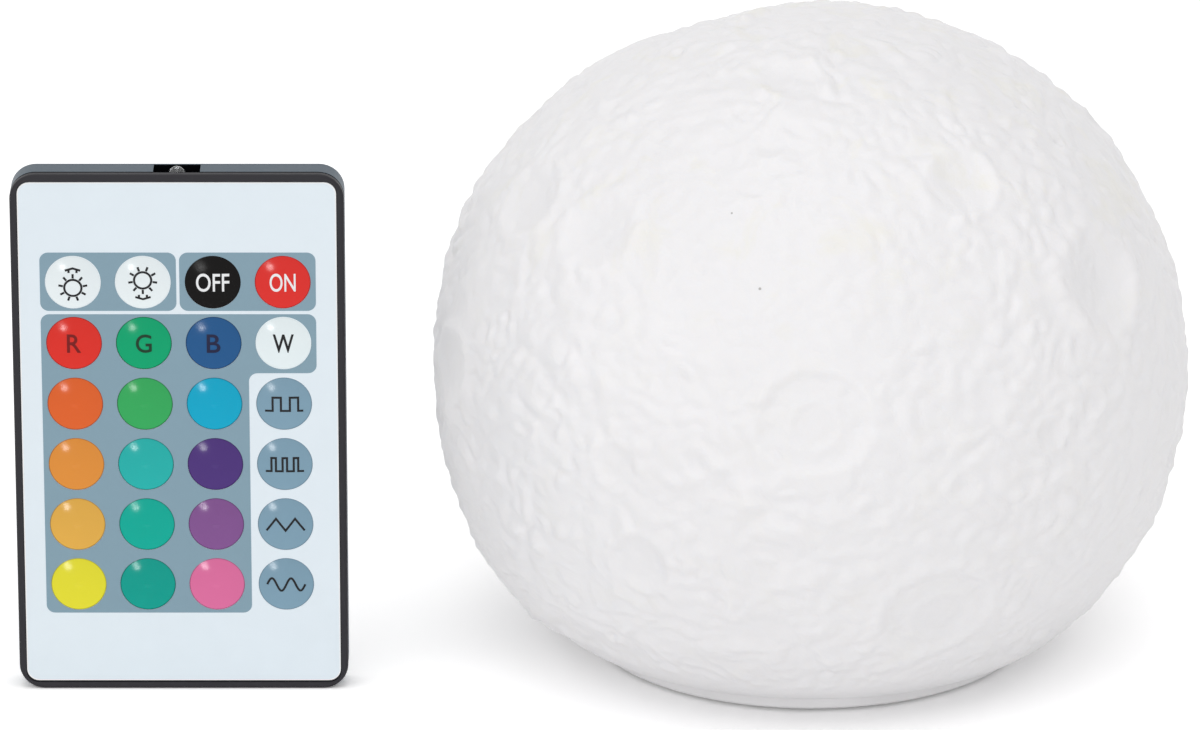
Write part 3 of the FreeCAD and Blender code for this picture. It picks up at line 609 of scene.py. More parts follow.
def skinRelief(directions, look):
    # Broad swells, rolling ground, two sizes of round lumps and a fine grain, all from noise
    swell, roll, fine, bend = look["swell"], look["roll"], look["fine"], look["bend"]
    soft = look["softness"] * look["softness"]
    least, extra, middle, swing, repeat = look["rough"]
    relief = np.empty(len(directions))
    for index, direction in enumerate(directions):
        spot = Vector(direction)
        bent = spot + bend[0] * noise.noise_vector(spot * bend[1])
        lumps = 0
        for lift, often in look["bumps"]:  # round tops with soft creases between them
            lumps += lift * (math.sqrt(noise.noise(bent * often) ** 2 + soft) - look["bumpLevel"])
        rough = least + extra * min(1, max(0, middle + swing * noise.noise(spot * repeat)))
        texture = roll[0] * noise.noise(bent * roll[1]) + lumps
        texture += fine[0] * noise.noise(bent * fine[1])
        broad = noise.fractal(spot * swell[1], 1.0, 2.0, 3)
        relief[index] = swell[0] * broad + rough * texture
    turn, height, reach, share = look["calm"]
    return relief * (1 - share * fading(directions, turn, height, reach))


def ringFaces(rows, columns):
    column = np.arange(columns)
    following = (column + 1) % columns
    faces = []
    for row in range(rows - 1):
        low, high = row * columns, (row + 1) * columns
        faces.append(np.stack([low + column, low + following, high + following, high + column], 1))
    return np.concatenate(faces)


def moonMesh(look):
    low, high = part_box("moon_shell")
    radius, halfHeight = high.x / mm, look["halfHeight"]
    bottom, centre = low.z / mm, high.z / mm - halfHeight
    seat = radius * math.sqrt(1 - ((bottom - centre) / halfHeight) ** 2)
    mouth = seat - look["lip"]
    columns, rows = look["columns"], look["rows"]
    turns = np.linspace(0, 2 * math.pi, columns, endpoint=False)

    # Outer skin, from just over the rounded lower edge up to the pole
    start = math.asin((bottom + look["edgeRise"] - centre) / halfHeight)
    heights = np.linspace(start, math.pi / 2, rows + 1)[:-1]
    flat = np.cos(heights)[:, None]
    sides = [(flat * np.cos(turns)).ravel(), (flat * np.sin(turns)).ravel()]
    directions = np.stack(sides + [np.repeat(np.sin(heights), columns)], 1)
    relief = skinRelief(directions, look)
    for turn, height, radiusShare, depthShare, wall in look["craters"]:
        away = chordTo(directions, turn, height) / radiusShare
        relief *= 1 - (1 - look["floorLumps"]) * np.exp(-(away ** 4))
    craters = look["craters"] + scatteredCraters(look)
    relief += craterRelief(directions, craters, look, radius * look["craterDepth"]) - look["inset"]
    for turn, height, reach, lift in look["swellings"]:
        relief += lift * fading(directions, turn, height, reach)
    relief = np.maximum(relief, -look["deepest"])
    fromEdge = np.repeat(heights - start, columns) * radius
    relief *= eased(np.clip(fromEdge / look["edgeEase"], 0, 1))
    stretch = np.array((radius, radius, halfHeight))
    normals = directions / stretch
    normals /= np.linalg.norm(normals, axis=1)[:, None]
    outer = directions * stretch + normals * relief[:, None] + np.array((0, 0, centre))
    outer = np.clip(outer, (-radius, low.y / mm, bottom), (radius, radius, centre + halfHeight))

    # Profile of the rest, from the lower edge over the lip and the mouth to the top of the hollow
    above = Vector((radius * math.cos(start), bottom + look["edgeRise"]))
    corner = Vector((seat, bottom))
    under = Vector((seat - look["edgeReach"], bottom))
    profile = []
    for step in range(look["edgeSteps"]):
        share = (step + 1) / look["edgeSteps"]
        profile.append(tuple(above.lerp(corner, share).lerp(corner.lerp(under, share), share)))
    profile += [(mouth, bottom), (mouth, bottom + look["wall"])]
    innerRadius, innerHalf = radius - look["hollow"], halfHeight - look["hollow"]
    innerStart = math.asin((bottom + look["wall"] - centre) / innerHalf)
    for angle in np.linspace(innerStart, math.pi / 2, look["innerRows"] + 1)[:-1]:
        profile.append((innerRadius * math.cos(angle), centre + innerHalf * math.sin(angle)))
    rings = [
        np.stack([r * np.cos(turns), r * np.sin(turns), np.full(columns, z)], 1)
        for r, z in profile
    ]
    outerTop = np.array([(0, 0, centre + halfHeight - look["inset"])])
    innerTop = np.array([(0, 0, centre + innerHalf)])
    outerRows = outer.reshape(rows, columns, 3)[::-1].reshape(-1, 3)
    points = np.concatenate([outerRows] + rings + [outerTop, innerTop])
    allRows = rows + len(profile)
    last = allRows * columns
    column = np.arange(columns)
    following = (column + 1) % columns
    bottomRow = last - columns
    topFan = np.stack([np.full(columns, last), column, following], 1)
    innerSides = [bottomRow + following, bottomRow + column]
    innerFan = np.stack([np.full(columns, last + 1)] + innerSides, 1)
    quads = ringFaces(allRows, columns)[:, ::-1]
    faces = quads.tolist() + topFan.tolist() + innerFan.tolist()
    mesh = bpy.data.meshes.new("moonShell")
    mesh.from_pydata((points * mm).tolist(), [], faces)
    mesh.polygons.foreach_set("use_smooth", np.ones(len(mesh.polygons), bool))
    mesh.set_sharp_from_angle(angle=math.radians(look["sharp"]))
    mesh.update()
    return mesh


# White plastic that lets some light in, with faint yellowish streaks on the upper part and a few
# specks. A span is where a change starts and where it is complete, a noise its size, detail,
# roughness and distortion.
moonPlastic = {
    "colour": (245, 243.5, 245), "driftSize": 26, "drift": 0.012, "grain": 0.9, "depth": 0.035,
    "gloss": 0.46, "glossSwing": 0.07, "sheen": 0.42,
    "shader": {
        "Subsurface Weight": 0.22,
        "Subsurface Radius": (1.0, 0.93, 0.85),
        "Subsurface Scale": 0.0022,
        "IOR": 1.47,
    },
    "streakColour": (243, 240, 222), "streakNoise": (9, 5, 0.62, 0.8),
    "streakSpan": (0.54, 0.74), "streakShare": 0.42,
    "shoulder": (62 * mm, 82 * mm, 0.25),
    "speckColour": (150, 146, 140), "speckGap": 15, "speckSpan": (0.011, 0.018),
    "speckShare": 0.7, "poreNoise": (2.4, 4, 0.6, 0.6), "poreDepth": 0.10,
}


def moonMaterial(look):
    material = finish("moon_plastic", look)
    tree = material.node_tree
    place = objectPlace(tree)
    streaks = grainAt(tree, place, *look["streakNoise"])
    shoulder = ramp(tree, axes(tree, place)[2], *look["shoulder"])
    streaks = ramp(tree, streaks, *look["streakSpan"], 0, look["streakShare"])
    tinge = product(tree, streaks, shoulder)
    streakColour = screen(*look["streakColour"])
    warm = blendColours(tree, tinge, fedBy(tree, "Base Color"), streakColour)
    cells = {"Vector": place, "Scale": 1 / (look["speckGap"] * mm), "Randomness": 1.0}
    away = add(tree, "TexVoronoi", cells, feature="F1").outputs["Distance"]
    speck = ramp(tree, away, *look["speckSpan"], look["speckShare"], 0)
    spotted = blendColours(tree, speck, warm, screen(*look["speckColour"]))
    feed(tree, "Base Color", spotted)
    raiseMore(tree, grainAt(tree, place, *look["poreNoise"]), look["poreDepth"])
    return material


def addMoon(look):
    mesh = moonMesh(look)
    mesh.materials.append(moonMaterial(moonPlastic))
    moon = bpy.data.objects.new("moon_shell_skin", mesh)
    bpy.context.scene.collection.objects.link(moon)
    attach(moon, "shell")
    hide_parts("moon_shell")


addMoon(moonLook)
print("moon shell ready")


# Base unit and what it holds


screwSteel = {"colour": (196, 198, 202), "gloss": 0.3}
baseLook = {
    "seal_ring": {"colour": (236, 235, 235), "gloss": 0.62, "grain": 0.5},
    "base_housing": {"colour": (249, 248, 249), "gloss": 0.4, "depth": 0.02},
    "foot_ring": {"colour": (216, 215, 211), "gloss": 0.7, "grain": 0.45, "depth": 0.03},
    "battery_cover": {"colour": (245, 244, 244), "gloss": 0.42, "depth": 0.03},
    "led_deck": {"colour": (236, 237, 236), "gloss": 0.38, "depth": 0.02},
    "switch_knob": {"colour": (38, 38, 40), "gloss": 0.45, "depth": 0.02},
    "lead_plus": {"colour": (190, 38, 36), "gloss": 0.42, "driftSize": 3},
    "lead_minus": {"colour": (34, 34, 36), "gloss": 0.42, "driftSize": 3},
    "switch_leads": {"colour": (228, 228, 224), "gloss": 0.42, "driftSize": 3},
}
metalLook = {
    "battery_contacts": {"colour": (214, 212, 204), "gloss": 0.3, "stretch": (1, 6, 1)},
    "battery_springs": {"colour": (206, 206, 202), "gloss": 0.26},
    "cover_screw_front": screwSteel,
    "cover_screw_back": screwSteel,
    "deck_screws": screwSteel,
    "board_screws": screwSteel,
    "snap_domes": {"colour": (205, 206, 206), "gloss": 0.28},
    "coin_contacts": {"colour": (212, 208, 192), "gloss": 0.3},
    "coin_cell": {"colour": (205, 206, 208), "gloss": 0.27, "stretch": (1, 1, 7)},
}
metalGrain = {"driftSize": 2.5, "grain": 0.12, "depth": 0.004, "drift": 0.06, "metal": 1}
tinned = {"colour": (205, 206, 205), "gloss": 0.32, "metal": 1}

for name, look in baseLook.items():
    dress(name, finish(name, look))
for name, look in metalLook.items():
    dress(name, finish(name, {**look, **metalGrain}))


# Sleeve of the cells. The outer two start at halfPitch from the middle. Lengths along a cell are
# from its plus end, the last one from its minus end.
cellLook = {
    "colour": (64, 96, 112), "gloss": 0.3, "driftSize": 4, "halfPitch": 5.45, "band": 12.5,
    "bandLook": {"colour": (222, 223, 219), "gloss": 0.3},
    "stripe": (13.4, 12.8),
    "stripeLook": {"colour": (201, 162, 74), "gloss": 0.25},
    "plusSteel": 1.6, "minusSteel": 0.45,
}


def cellWrap(look):
    # Printed sleeve with a pale band near the plus end, and bare steel ends
    material = finish("cell_wrap", look)
    tree = material.node_tree
    x, y, z = axes(tree, objectPlace(tree))
    low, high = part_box("battery_cells")
    half = (high.y - low.y) / 2
    outerCell = isOver(tree, sizeOf(tree, x), look["halfPitch"] * mm)
    flip = calculate(tree, "MULTIPLY_ADD", outerCell, -2.0, 1.0)  # they lie the other way round
    toPlus = product(tree, calculate(tree, "SUBTRACT", y, (high.y + low.y) / 2), flip)
    secondZone(tree, isOver(tree, toPlus, half - look["band"] * mm), look["bandLook"])
    stripe = [half - edge * mm for edge in look["stripe"]]
    secondZone(tree, isBetween(tree, toPlus, *stripe), look["stripeLook"])
    plusEnd = isOver(tree, toPlus, half - look["plusSteel"] * mm)
    minusEnd = isUnder(tree, toPlus, look["minusSteel"] * mm - half)
    secondZone(tree, highest(tree, plusEnd, minusEnd), tinned)
    return material


ledLook = {
    "colour": (243, 243, 238), "gloss": 0.42, "driftSize": 1.5, "side": 5.0, "window": 1.86,
    "windowDepth": 0.6,
    "windowLook": {"colour": (226, 205, 132), "gloss": 0.14},
    "dieCircle": 0.75, "dieRadius": 0.24,
    "dieLook": {"colour": (120, 96, 48), "gloss": 0.2},
    "foot": 0.35,
}


def ledPackage(look):
    # White body with tinned feet, and a clear window over three dies
    material = finish("led_white", look)
    tree = material.node_tree
    x, y, z = axes(tree, objectPlace(tree))
    low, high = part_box("colour_leds")
    side, foot = look["side"] * mm, look["foot"] * mm
    foldX = calculate(tree, "SUBTRACT", sizeOf(tree, x), (high.x - low.x) / 2 - side / 2)
    foldY = calculate(tree, "SUBTRACT", sizeOf(tree, y), (high.y - low.y) / 2 - side / 2)
    spot = add(tree, "CombineXYZ", {0: foldX, 1: foldY}).outputs[0]
    top = isOver(tree, z, high.z - look["windowDepth"] * mm)
    window = isNear(tree, spot, (0, 0, 0), look["window"] * mm)
    secondZone(tree, product(tree, window, top), look["windowLook"])
    for place in circle(0, 0, look["dieCircle"] * mm, 12)[3::4]:  # the first one at the back
        die = isNear(tree, spot, (*place, 0), look["dieRadius"] * mm)
        secondZone(tree, product(tree, die, top), look["dieLook"])
    edge = isOver(tree, sizeOf(tree, foldX), side / 2 - foot)
    secondZone(tree, product(tree, isUnder(tree, z, low.z + foot), edge), tinned)
    return material


maskDepth, trackRise = 0.05, 0.02


def boardFace(name, node, look):
    # Solder mask on both faces over copper tracks, which run one way or the other in patches
    material = finish(name, look)
    tree = material.node_tree
    place = objectPlace(tree)
    depth = look["depthAxis"]
    across, along = [axis for axis in range(3) if axis != depth]
    low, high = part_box(node)
    spots = axes(tree, place)
    cells = {"Vector": place, "Scale": 1 / (look["patch"] * mm), "Randomness": 0.8}
    patch = add(tree, "TexVoronoi", cells, feature="F1", distance="CHEBYCHEV").outputs["Color"]
    pick = isOver(tree, axes(tree, patch)[0], 0.5)
    turn = calculate(tree, "SUBTRACT", spots[along], spots[across])
    way = calculate(tree, "MULTIPLY_ADD", pick, turn, spots[across])
    stripe = calculate(tree, "FRACT", calculate(tree, "DIVIDE", way, look["pitch"] * mm))
    edges = low[depth] + maskDepth * mm, high[depth] - maskDepth * mm
    face = calculate(tree, "SUBTRACT", 1.0, isBetween(tree, spots[depth], *edges))
    line = product(tree, isUnder(tree, stripe, look["line"]), face)
    secondZone(tree, product(tree, line, look["strength"]), look["track"])
    raiseMore(tree, line, trackRise)
    return material


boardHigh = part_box("light_board")[1]
partsLow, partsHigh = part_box("board_parts")
chipLow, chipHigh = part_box("control_chip")
chipHalf = (chipHigh.x - chipLow.x) / 2
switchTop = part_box("switch_body")[1].z

# Dark moulded bodies, whose legs are tinned outside limits along one axis. A side without legs
# has its limit far off.
blackEpoxy = {"colour": (36, 36, 38), "gloss": 0.46, "grain": 0.2, "depth": 0.01}
switchBlack = {"colour": (46, 46, 48), "gloss": 0.42, "grain": 0.3}
chipBody = chipHalf - 0.98 * mm
receiverFoot = boardHigh.z + 1.35 * mm
switchFoot = switchTop - 2.15 * mm
farOff = 1.0


def legged(name, look, axis, low, high):
    material = finish(name, look)
    tree = material.node_tree
    body = isBetween(tree, axes(tree, objectPlace(tree))[axis], low, high)
    secondZone(tree, calculate(tree, "SUBTRACT", 1.0, body), tinned)
    return material


# Resistors' ends and the can's top, from the high end of the small parts' box
smallLook = {
    "colour": (40, 40, 42), "gloss": 0.35, "grain": 0.2, "canTop": 0.12, "capHeight": 0.55,
    "row": 2.1, "rowMiddle": 1.0, "body": 0.65,
}


def smallParts(look):
    # Four resistors with tinned ends in a row, and an aluminium can with a dark sleeve
    material = finish("small_parts", look)
    tree = material.node_tree
    x, y, z = axes(tree, objectPlace(tree))
    top = isOver(tree, z, partsHigh.z - look["canTop"] * mm)
    low = isUnder(tree, z, boardHigh.z + look["capHeight"] * mm)
    row = isOver(tree, y, partsHigh.y - look["row"] * mm)
    away = sizeOf(tree, y, partsHigh.y - look["rowMiddle"] * mm)
    caps = product(tree, isOver(tree, away, look["body"] * mm), low, row)
    secondZone(tree, highest(tree, caps, top), tinned)
    return material


lightBoard = {
    "colour": (238, 239, 236), "gloss": 0.34, "driftSize": 5,
    "track": {"colour": (230, 231, 226), "gloss": 0.3},
    "depthAxis": 2, "patch": 9.0, "pitch": 0.9, "line": 0.42, "strength": 0.5,
}
dress("battery_cells", cellWrap(cellLook))
dress("colour_leds", ledPackage(ledLook))
dress("light_board", boardFace("light_board_white", "light_board", lightBoard))
dress("control_chip", legged("black_epoxy", blackEpoxy, 0, -chipBody, chipBody))
receiverEpoxy = {**blackEpoxy, "gloss": 0.22}
dress("ir_receiver", legged("receiver_epoxy", receiverEpoxy, 2, receiverFoot, farOff))
dress("switch_body", legged("switch_black", switchBlack, 2, -farOff, switchFoot))
dress("board_parts", smallParts(smallLook))


# Print on the light board: tracks under the mask, outlines and labels, vias and solder. Lengths
# are in millimetres from the middle of the board. Tracks and vias are those of its right back
# quarter, and the other quarters mirror them.


boardPrint = {
    "thickness": 0.03, "trackWidth": 0.5, "trackColour": (226, 228, 222), "silkLine": 0.16,
    "silkColour": (74, 76, 80), "letter": (0.72, 1.0, 0.2), "letterWeight": 0.02,
    "minusHeight": 0.22,
    "tracks": {
        "chip": [
            [(2.9, 0.63), (3.7, 0.63), (5.2, 2.1), (5.2, 4.2)],
            [(2.9, 1.9), (3.2, 1.9), (4.3, 3.0), (4.3, 4.2)],
        ],
        "resistors": [
            [(6.4, 8.7), (6.4, 10.4), (3.9, 12.9), (3.9, 14.0)],
            [(5.0, 8.7), (5.0, 9.2), (1.3, 12.9), (1.3, 14.0)],
        ],
        "side": [
            [(8.7, 5.0), (10.6, 5.0), (13.4, 2.2), (15.6, 2.2)],
            [(8.7, 7.4), (11.6, 7.4), (13.9, 9.7), (13.9, 12.8)],
        ],
    },
    "vias": [(10.8, 9.4), (12.6, 5.4), (1.9, 6.2), (2.6, 10.0), (9.4, 12.2), (15.8, 6.8)],
    "viaRadii": (0.36, 0.15),
    # Each quarter's ways across and along, its tracks, and how far out it has vias, because the
    # can stands on one of them
    "quarters": [
        (1, 1, ("chip", "resistors", "side"), 99),
        (-1, 1, ("chip", "resistors"), 10),
        (-1, -1, ("chip", "side"), 99),
        (1, -1, ("chip", "side"), 99),
    ],
    # Outlines round the parts: places, and width and height or radius
    "ledHalf": 2.5, "ledFrame": 5.6, "chipFrame": (0.7, 5.6), "firstPin": (-3.9, 2.4, 0.22, 16),
    "receiverFrame": (0, -16.3, 6.6, 5.0),
    "resistors": [-3.9, -1.3, 1.3, 3.9],
    "resistorFrame": (-1, 1.75, 2.5), "can": (2.5, 6.55, 2.85),
    "screws": ((-17.0, 17.0), 2.35),
    "labels": {
        "D1": (10.4, 6.4), "D2": (-10.2, 6.4), "D3": (-10.4, -6.4), "D4": (10.4, -6.4),
        "U1": (0.0, 3.5), "C1": (-14.0, 10.1), "R1": (-3.9, 16.4), "R2": (-1.3, 16.4),
        "R3": (1.3, 16.4), "R4": (3.9, 16.4), "IR": (4.5, -16.6), "+": (-10.0, -14.6),
        "-": (10.0, 14.6),
    },
    "pads": [(-7.7, -16.5), (7.7, 16.5)],
    "padRadius": 0.95, "padUneven": 0.06, "solderHeight": 0.4,
}


def boardTracks(look):
    meshes = []
    for across, along, groups, reach in look["quarters"]:
        for track in [track for group in groups for track in look["tracks"][group]]:
            points = [(x * across, y * along) for x, y in track]
            meshes.append(flatMesh([stroke(points, look["trackWidth"])], look["thickness"]))
        for x, y in look["vias"]:
            if x < reach:
                rings = [circle(x * across, y * along, radius, 20) for radius in look["viaRadii"]]
                meshes.append(flatMesh(rings, look["thickness"]))
    return meshes


def boardSilk(look):
    line, thickness = look["silkLine"], look["thickness"]
    meshes = []

    def box(x, y, width, height):
        pair = [rectangle(x, y, width + extra, height + extra) for extra in (line, -line)]
        meshes.append(flatMesh(pair, thickness))

    def ring(x, y, radius):
        meshes.append(flatMesh([circle(x, y, radius), circle(x, y, radius - line)], thickness))

    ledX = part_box("colour_leds")[1].x / mm - look["ledHalf"]
    for across, along, _, _ in look["quarters"]:
        box(ledX * across, ledX * along, look["ledFrame"], look["ledFrame"])
    extra, chipFrame = look["chipFrame"]
    box(0, 0, 2 * chipHigh.x / mm + extra, chipFrame)
    meshes.append(flatMesh([circle(*look["firstPin"])], thickness))
    box(*look["receiverFrame"])
    inwards, *resistor = look["resistorFrame"]
    for x in look["resistors"]:
        box(x, partsHigh.y / mm + inwards, *resistor)
    inwards, y, radius = look["can"]
    ring(partsLow.x / mm + inwards, y, radius)
    places, radius = look["screws"]
    for x in places:
        ring(x, 0, radius)
    pitch, letter, extra = look["letter"]
    for text, (x, y) in look["labels"].items():
        height = look["minusHeight"] if text == "-" else letter
        width = pitch * len(text) + extra
        meshes.append(wordMesh(text, width, height, thickness, look["letterWeight"], x, y))
    return meshes


def solderDomes(look):
    # Solder that has risen through the two lead holes, as low domes
    shape = bmesh.new()
    bmesh.ops.create_uvsphere(shape, u_segments=20, v_segments=10, radius=1)
    dome = bpy.data.meshes.new("dome")
    shape.to_mesh(dome)
    shape.free()
    meshes = []
    for x, y in look["pads"]:
        copy = dome.copy()
        for vertex in copy.vertices:
            across, along, rise = vertex.co
            uneven = noise.noise(vertex.co * 2 + Vector((x, y, 0)))
            radius = look["padRadius"] * (1 + look["padUneven"] * uneven)
            rise = max(0, rise) * look["solderHeight"]
            vertex.co = (x + across * radius, y + along * radius, rise)
        copy.polygons.foreach_set("use_smooth", np.ones(len(copy.polygons), bool))
        meshes.append(copy)
    return meshes


trackLook = {"colour": boardPrint["trackColour"], "gloss": 0.34, "depth": 0.003}
silkLook = {"colour": boardPrint["silkColour"], "gloss": 0.55, "depth": 0.002}
solderLook = {"colour": (205, 206, 206), "gloss": 0.3, "grain": 0.15, "depth": 0.006, "metal": 1}
boardTop = onPlane(Vector((0, 0, boardHigh.z)), toRight, toBack, upward)
for name, meshes, look in (
    ("board_tracks", boardTracks(boardPrint), trackLook),
    ("board_silk", boardSilk(boardPrint), silkLook),
    ("board_solder", solderDomes(boardPrint), solderLook),
):
    layPrint(name, meshes, finish(name, look), boardTop, "base_unit")


# Printed marks on the underside, read with the front edge up. For each word, its piece, its width
# and height, the place of its middle, and the body that it is on.


markLook = {
    "thickness": 0.05, "weight": 0.02, "colour": (148, 150, 153),
    "words": {
        "ON": ("mark_on", 3.6, 1.5, 21.25, -5.4, "base_unit"),
        "OFF": ("mark_off", 4.6, 1.5, 21.25, 5.4, "base_unit"),
        "3 x AAA 1.5 V": ("mark_cells", 17.0, 1.9, 0.0, -9.6, "battery_door"),
    },
}


markInk = finish("mark_ink", {"colour": markLook["colour"], "gloss": 0.5, "depth": 0.003})
underside = Vector((0, 0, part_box("base_housing")[0].z))
for word, (name, width, height, x, y, body) in markLook["words"].items():
    mesh = wordMesh(word, width, height, markLook["thickness"], markLook["weight"], x, y)
    face = onPlane(underside, toRight, -toBack, -upward)
    layPrint(name, [mesh], markInk, face, body)


# Printing on the cells' sleeves, turned towards the cover. For each word, its width, height and
# place along the cell towards its plus end, and its ink.


cellPrint = {
    "thickness": 0.03, "weight": 0.02, "bend": 0.6,
    "inks": {"pale": (226, 228, 226), "dark": (52, 56, 60)},
    "words": {
        "type": ("AAA  1.5 V", 17.0, 2.6, -3.5, "pale"),
        "minus": ("-", 2.0, 0.5, -19.5, "pale"),
        "plus": ("+", 2.6, 2.6, 17.0, "dark"),
    },
}


def addCellPrint(look):
    low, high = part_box("battery_cells")
    radius = (high.z - low.z) / 2
    middle = middleOf("battery_cells")
    inks = {}
    for ink, colour in look["inks"].items():
        inkLook = {"colour": colour, "gloss": 0.4, "depth": 0.002}
        inks[ink] = finish("cell_ink_" + ink, inkLook)
    cells = {"left": (low.x + radius, -1), "middle": (0, 1), "right": (high.x - radius, -1)}
    for side, (cellX, plusWay) in cells.items():

        def onSleeve(across, along, out):
            turn = plusWay * along * mm / radius
            reach = radius + out * mm
            x, z = cellX + reach * math.sin(turn), middle.z - reach * math.cos(turn)
            return Vector((x, middle.y + plusWay * across * mm, z))

        for part, (word, width, height, place, ink) in look["words"].items():
            mesh = wordMesh(word, width, height, look["thickness"], look["weight"], place)
            cutAlongGrid(mesh, look["bend"])
            name = f"cell_{side}_{part}"
            layPrint(name, [mesh], inks[ink], onSleeve, "base_unit")


addCellPrint(cellPrint)
print("base unit ready")


# Remote control


remoteLook = {
    "remote_back_case": {"colour": (82, 95, 106), "gloss": 0.46, "depth": 0.018, "sheen": 0.28},
    "remote_front_case": {"colour": (52, 51, 55), "gloss": 0.45, "depth": 0.018, "sheen": 0.12},
    "coin_tray": {"colour": (80, 92, 102), "gloss": 0.48, "depth": 0.018, "sheen": 0.28},
    "remote_resonator": {"colour": (52, 84, 150), "gloss": 0.35, "sheen": 0.4, "driftSize": 2},
    "remote_chip": {
        "colour": (30, 30, 32), "gloss": 0.3, "sheen": 0.4, "wave": 0.1, "driftSize": 2,
    },
}
# Dark colour for the joint between the case halves, and painted shade for the hollow behind the
# LED's window
seamAndPaintedShade = {
    "colour": (10, 12, 15), "gloss": 0.7, "sheen": 0.02, "seam": (0.22, 0.12), "ledBack": 0.45,
    "ledHalf": 3.66, "ledLevels": (9, 0.05),
}
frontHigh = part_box("remote_front_case")[1]
backLow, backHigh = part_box("remote_back_case")
ledLow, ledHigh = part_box("remote_ir_led")
ledMiddle = middleOf("remote_ir_led")


def remoteCase(name, look, seamAndShade):
    # The joint between the two halves is coloured dark. Behind the LED's window the inside of the
    # case
    # gets painted shade: a near-black colour that reflects little, where the hollow is in shade
    material = finish(name, look)
    tree = material.node_tree
    x, y, z = axes(tree, objectPlace(tree))
    towards, away = seamAndShade["seam"]
    half, (bottom, top) = seamAndShade["ledHalf"] * mm, seamAndShade["ledLevels"]
    seam = isBetween(tree, y, frontHigh.y - towards * mm, backLow.y + away * mm)
    # Painted shade: the inside of the case behind the LED's window
    window = product(
        tree,
        isBetween(tree, y, frontHigh.y, backHigh.y - seamAndShade["ledBack"] * mm),
        isBetween(tree, x, ledMiddle.x - half, ledMiddle.x + half),
        isBetween(tree, z, backHigh.z - bottom * mm, backHigh.z - top * mm),
    )
    dark = highest(tree, seam, window)
    secondZone(tree, dark, seamAndShade)
    feed(tree, "Specular IOR Level", ramp(tree, dark, 0, 1, look["sheen"], seamAndShade["sheen"]))
    return material


for name, look in remoteLook.items():
    dress(name, remoteCase(name, look, seamAndPaintedShade) if "case" in name else finish(name, look))
remoteBoard = {
    "colour": (38, 92, 62), "gloss": 0.33, "driftSize": 5,
    "track": {"colour": (62, 122, 84), "gloss": 0.3},
    "depthAxis": 1, "patch": 7.0, "pitch": 1.1, "line": 0.45, "strength": 0.85,
}
clearLook = {
    "colour": (238, 242, 246), "gloss": 0.05, "glossSwing": 0.02, "drift": 0.01, "depth": 0.001,
    "sheen": 0.9,
    "shader": {"Transmission Weight": 0.94, "IOR": 1.56},
}
dress("remote_board", boardFace("remote_board_green", "remote_board", remoteBoard))
dress("remote_ir_led", finish("clear_epoxy", clearLook))


# Colour of each key's film, and how bright the thin line round it is
keyFilms = {
    "brighter": ((244, 252, 255), 1.0),
    "dimmer": ((244, 252, 255), 1.0),
    "off": ((16, 14, 14), 0.8),
    "on": ((232, 55, 50), 0.8),
    "red": ((232, 55, 46), 0.72),
    "green": ((16, 172, 117), 0.62),
    "blue": ((42, 94, 148), 0.72),
    "white": ((242, 252, 255), 1.0),
    "orange": ((234, 106, 50), 0.75),
    "lime": ((60, 178, 99), 0.65),
    "sky": ((22, 176, 212), 0.65),
    "flash": ((135, 168, 188), 0.85),
    "apricot": ((236, 152, 66), 0.78),
    "turquoise": ((44, 186, 180), 0.65),
    "violet": ((84, 58, 130), 0.75),
    "strobe": ((135, 168, 188), 0.85),
    "amber": ((237, 182, 82), 0.78),
    "teal": ((18, 180, 160), 0.65),
    "purple": ((138, 90, 152), 0.75),
    "fade": ((135, 168, 188), 0.85),
    "yellow": ((240, 232, 58), 0.78),
    "sea_green": ((18, 166, 150), 0.65),
    "pink": ((232, 118, 168), 0.78),
    "smooth": ((135, 168, 188), 0.85),
}
filmLook = {
    "gloss": 0.1, "glossSwing": 0.02, "depth": 0.001, "drift": 0.015, "sheen": 0.1,
    # The upper share and shade below set a painted reflection: how far each key's colour is painted
    # deeper towards its upper edge
    "upperShare": 0.42, "upperShade": 0.72, "lineSpan": (0.16, 0.08), "screenPower": 2.2,
}
overlayLow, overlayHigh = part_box("keypad_overlay")
firstLow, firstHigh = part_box("key_off")
remoteX, firstRow = (overlayLow.x + overlayHigh.x) / 2, (firstLow.z + firstHigh.z) / 2
keyRadius = (firstHigh.x - firstLow.x) / 2
keyCrown = 0.35 * mm
domeRadius = (keyRadius ** 2 + keyCrown ** 2) / (2 * keyCrown)


def keyFilm(name, colour, line, look):
    # Printed film with a dark line round it. Its colour is painted deeper towards the upper edge as
    # a
    # painted reflection: the lower part stays lighter, as if it mirrored the bright floor
    material = finish("film_" + name, {**look, "colour": colour})
    colour = screen(*colour)
    tree = material.node_tree
    middle = middleOf("key_" + name)
    spot = (middle.x, 0, middle.z)
    place = {0: objectPlace(tree), 1: spot}
    outwards = add(tree, "VectorMath", place, operation="SUBTRACT").outputs[0]
    flat = add(tree, "VectorMath", {0: outwards, 1: (1, 0, 1)}, operation="MULTIPLY").outputs[0]
    reach = add(tree, "VectorMath", {0: flat}, operation="LENGTH").outputs[1]
    height = axes(tree, outwards)[2]
    # Painted reflection: deeper colour towards the top of the key, lighter below
    reflectionBlend = ramp(tree, height, -keyRadius, keyRadius, 0, look["upperShare"])
    upper = shaded(colour, look["upperShade"])
    paintedReflection = blendColours(tree, reflectionBlend, fedBy(tree, "Base Color"), upper)
    edge = ramp(tree, reach, *[keyRadius - inwards * mm for inwards in look["lineSpan"]])
    dark = shaded(colour, line ** look["screenPower"])
    feed(tree, "Base Color", blendColours(tree, edge, paintedReflection, dark))
    return material


for name, (colour, line) in keyFilms.items():
    dress("key_" + name, keyFilm(name, colour, line, filmLook))
print("remote case and keys ready")


# Print on the face sheet and on the keys: thin inlays cut from flat outlines. Lengths are in
# millimetres, across and up from the middle of the face at the first row of keys, or from the
# middle of a key.


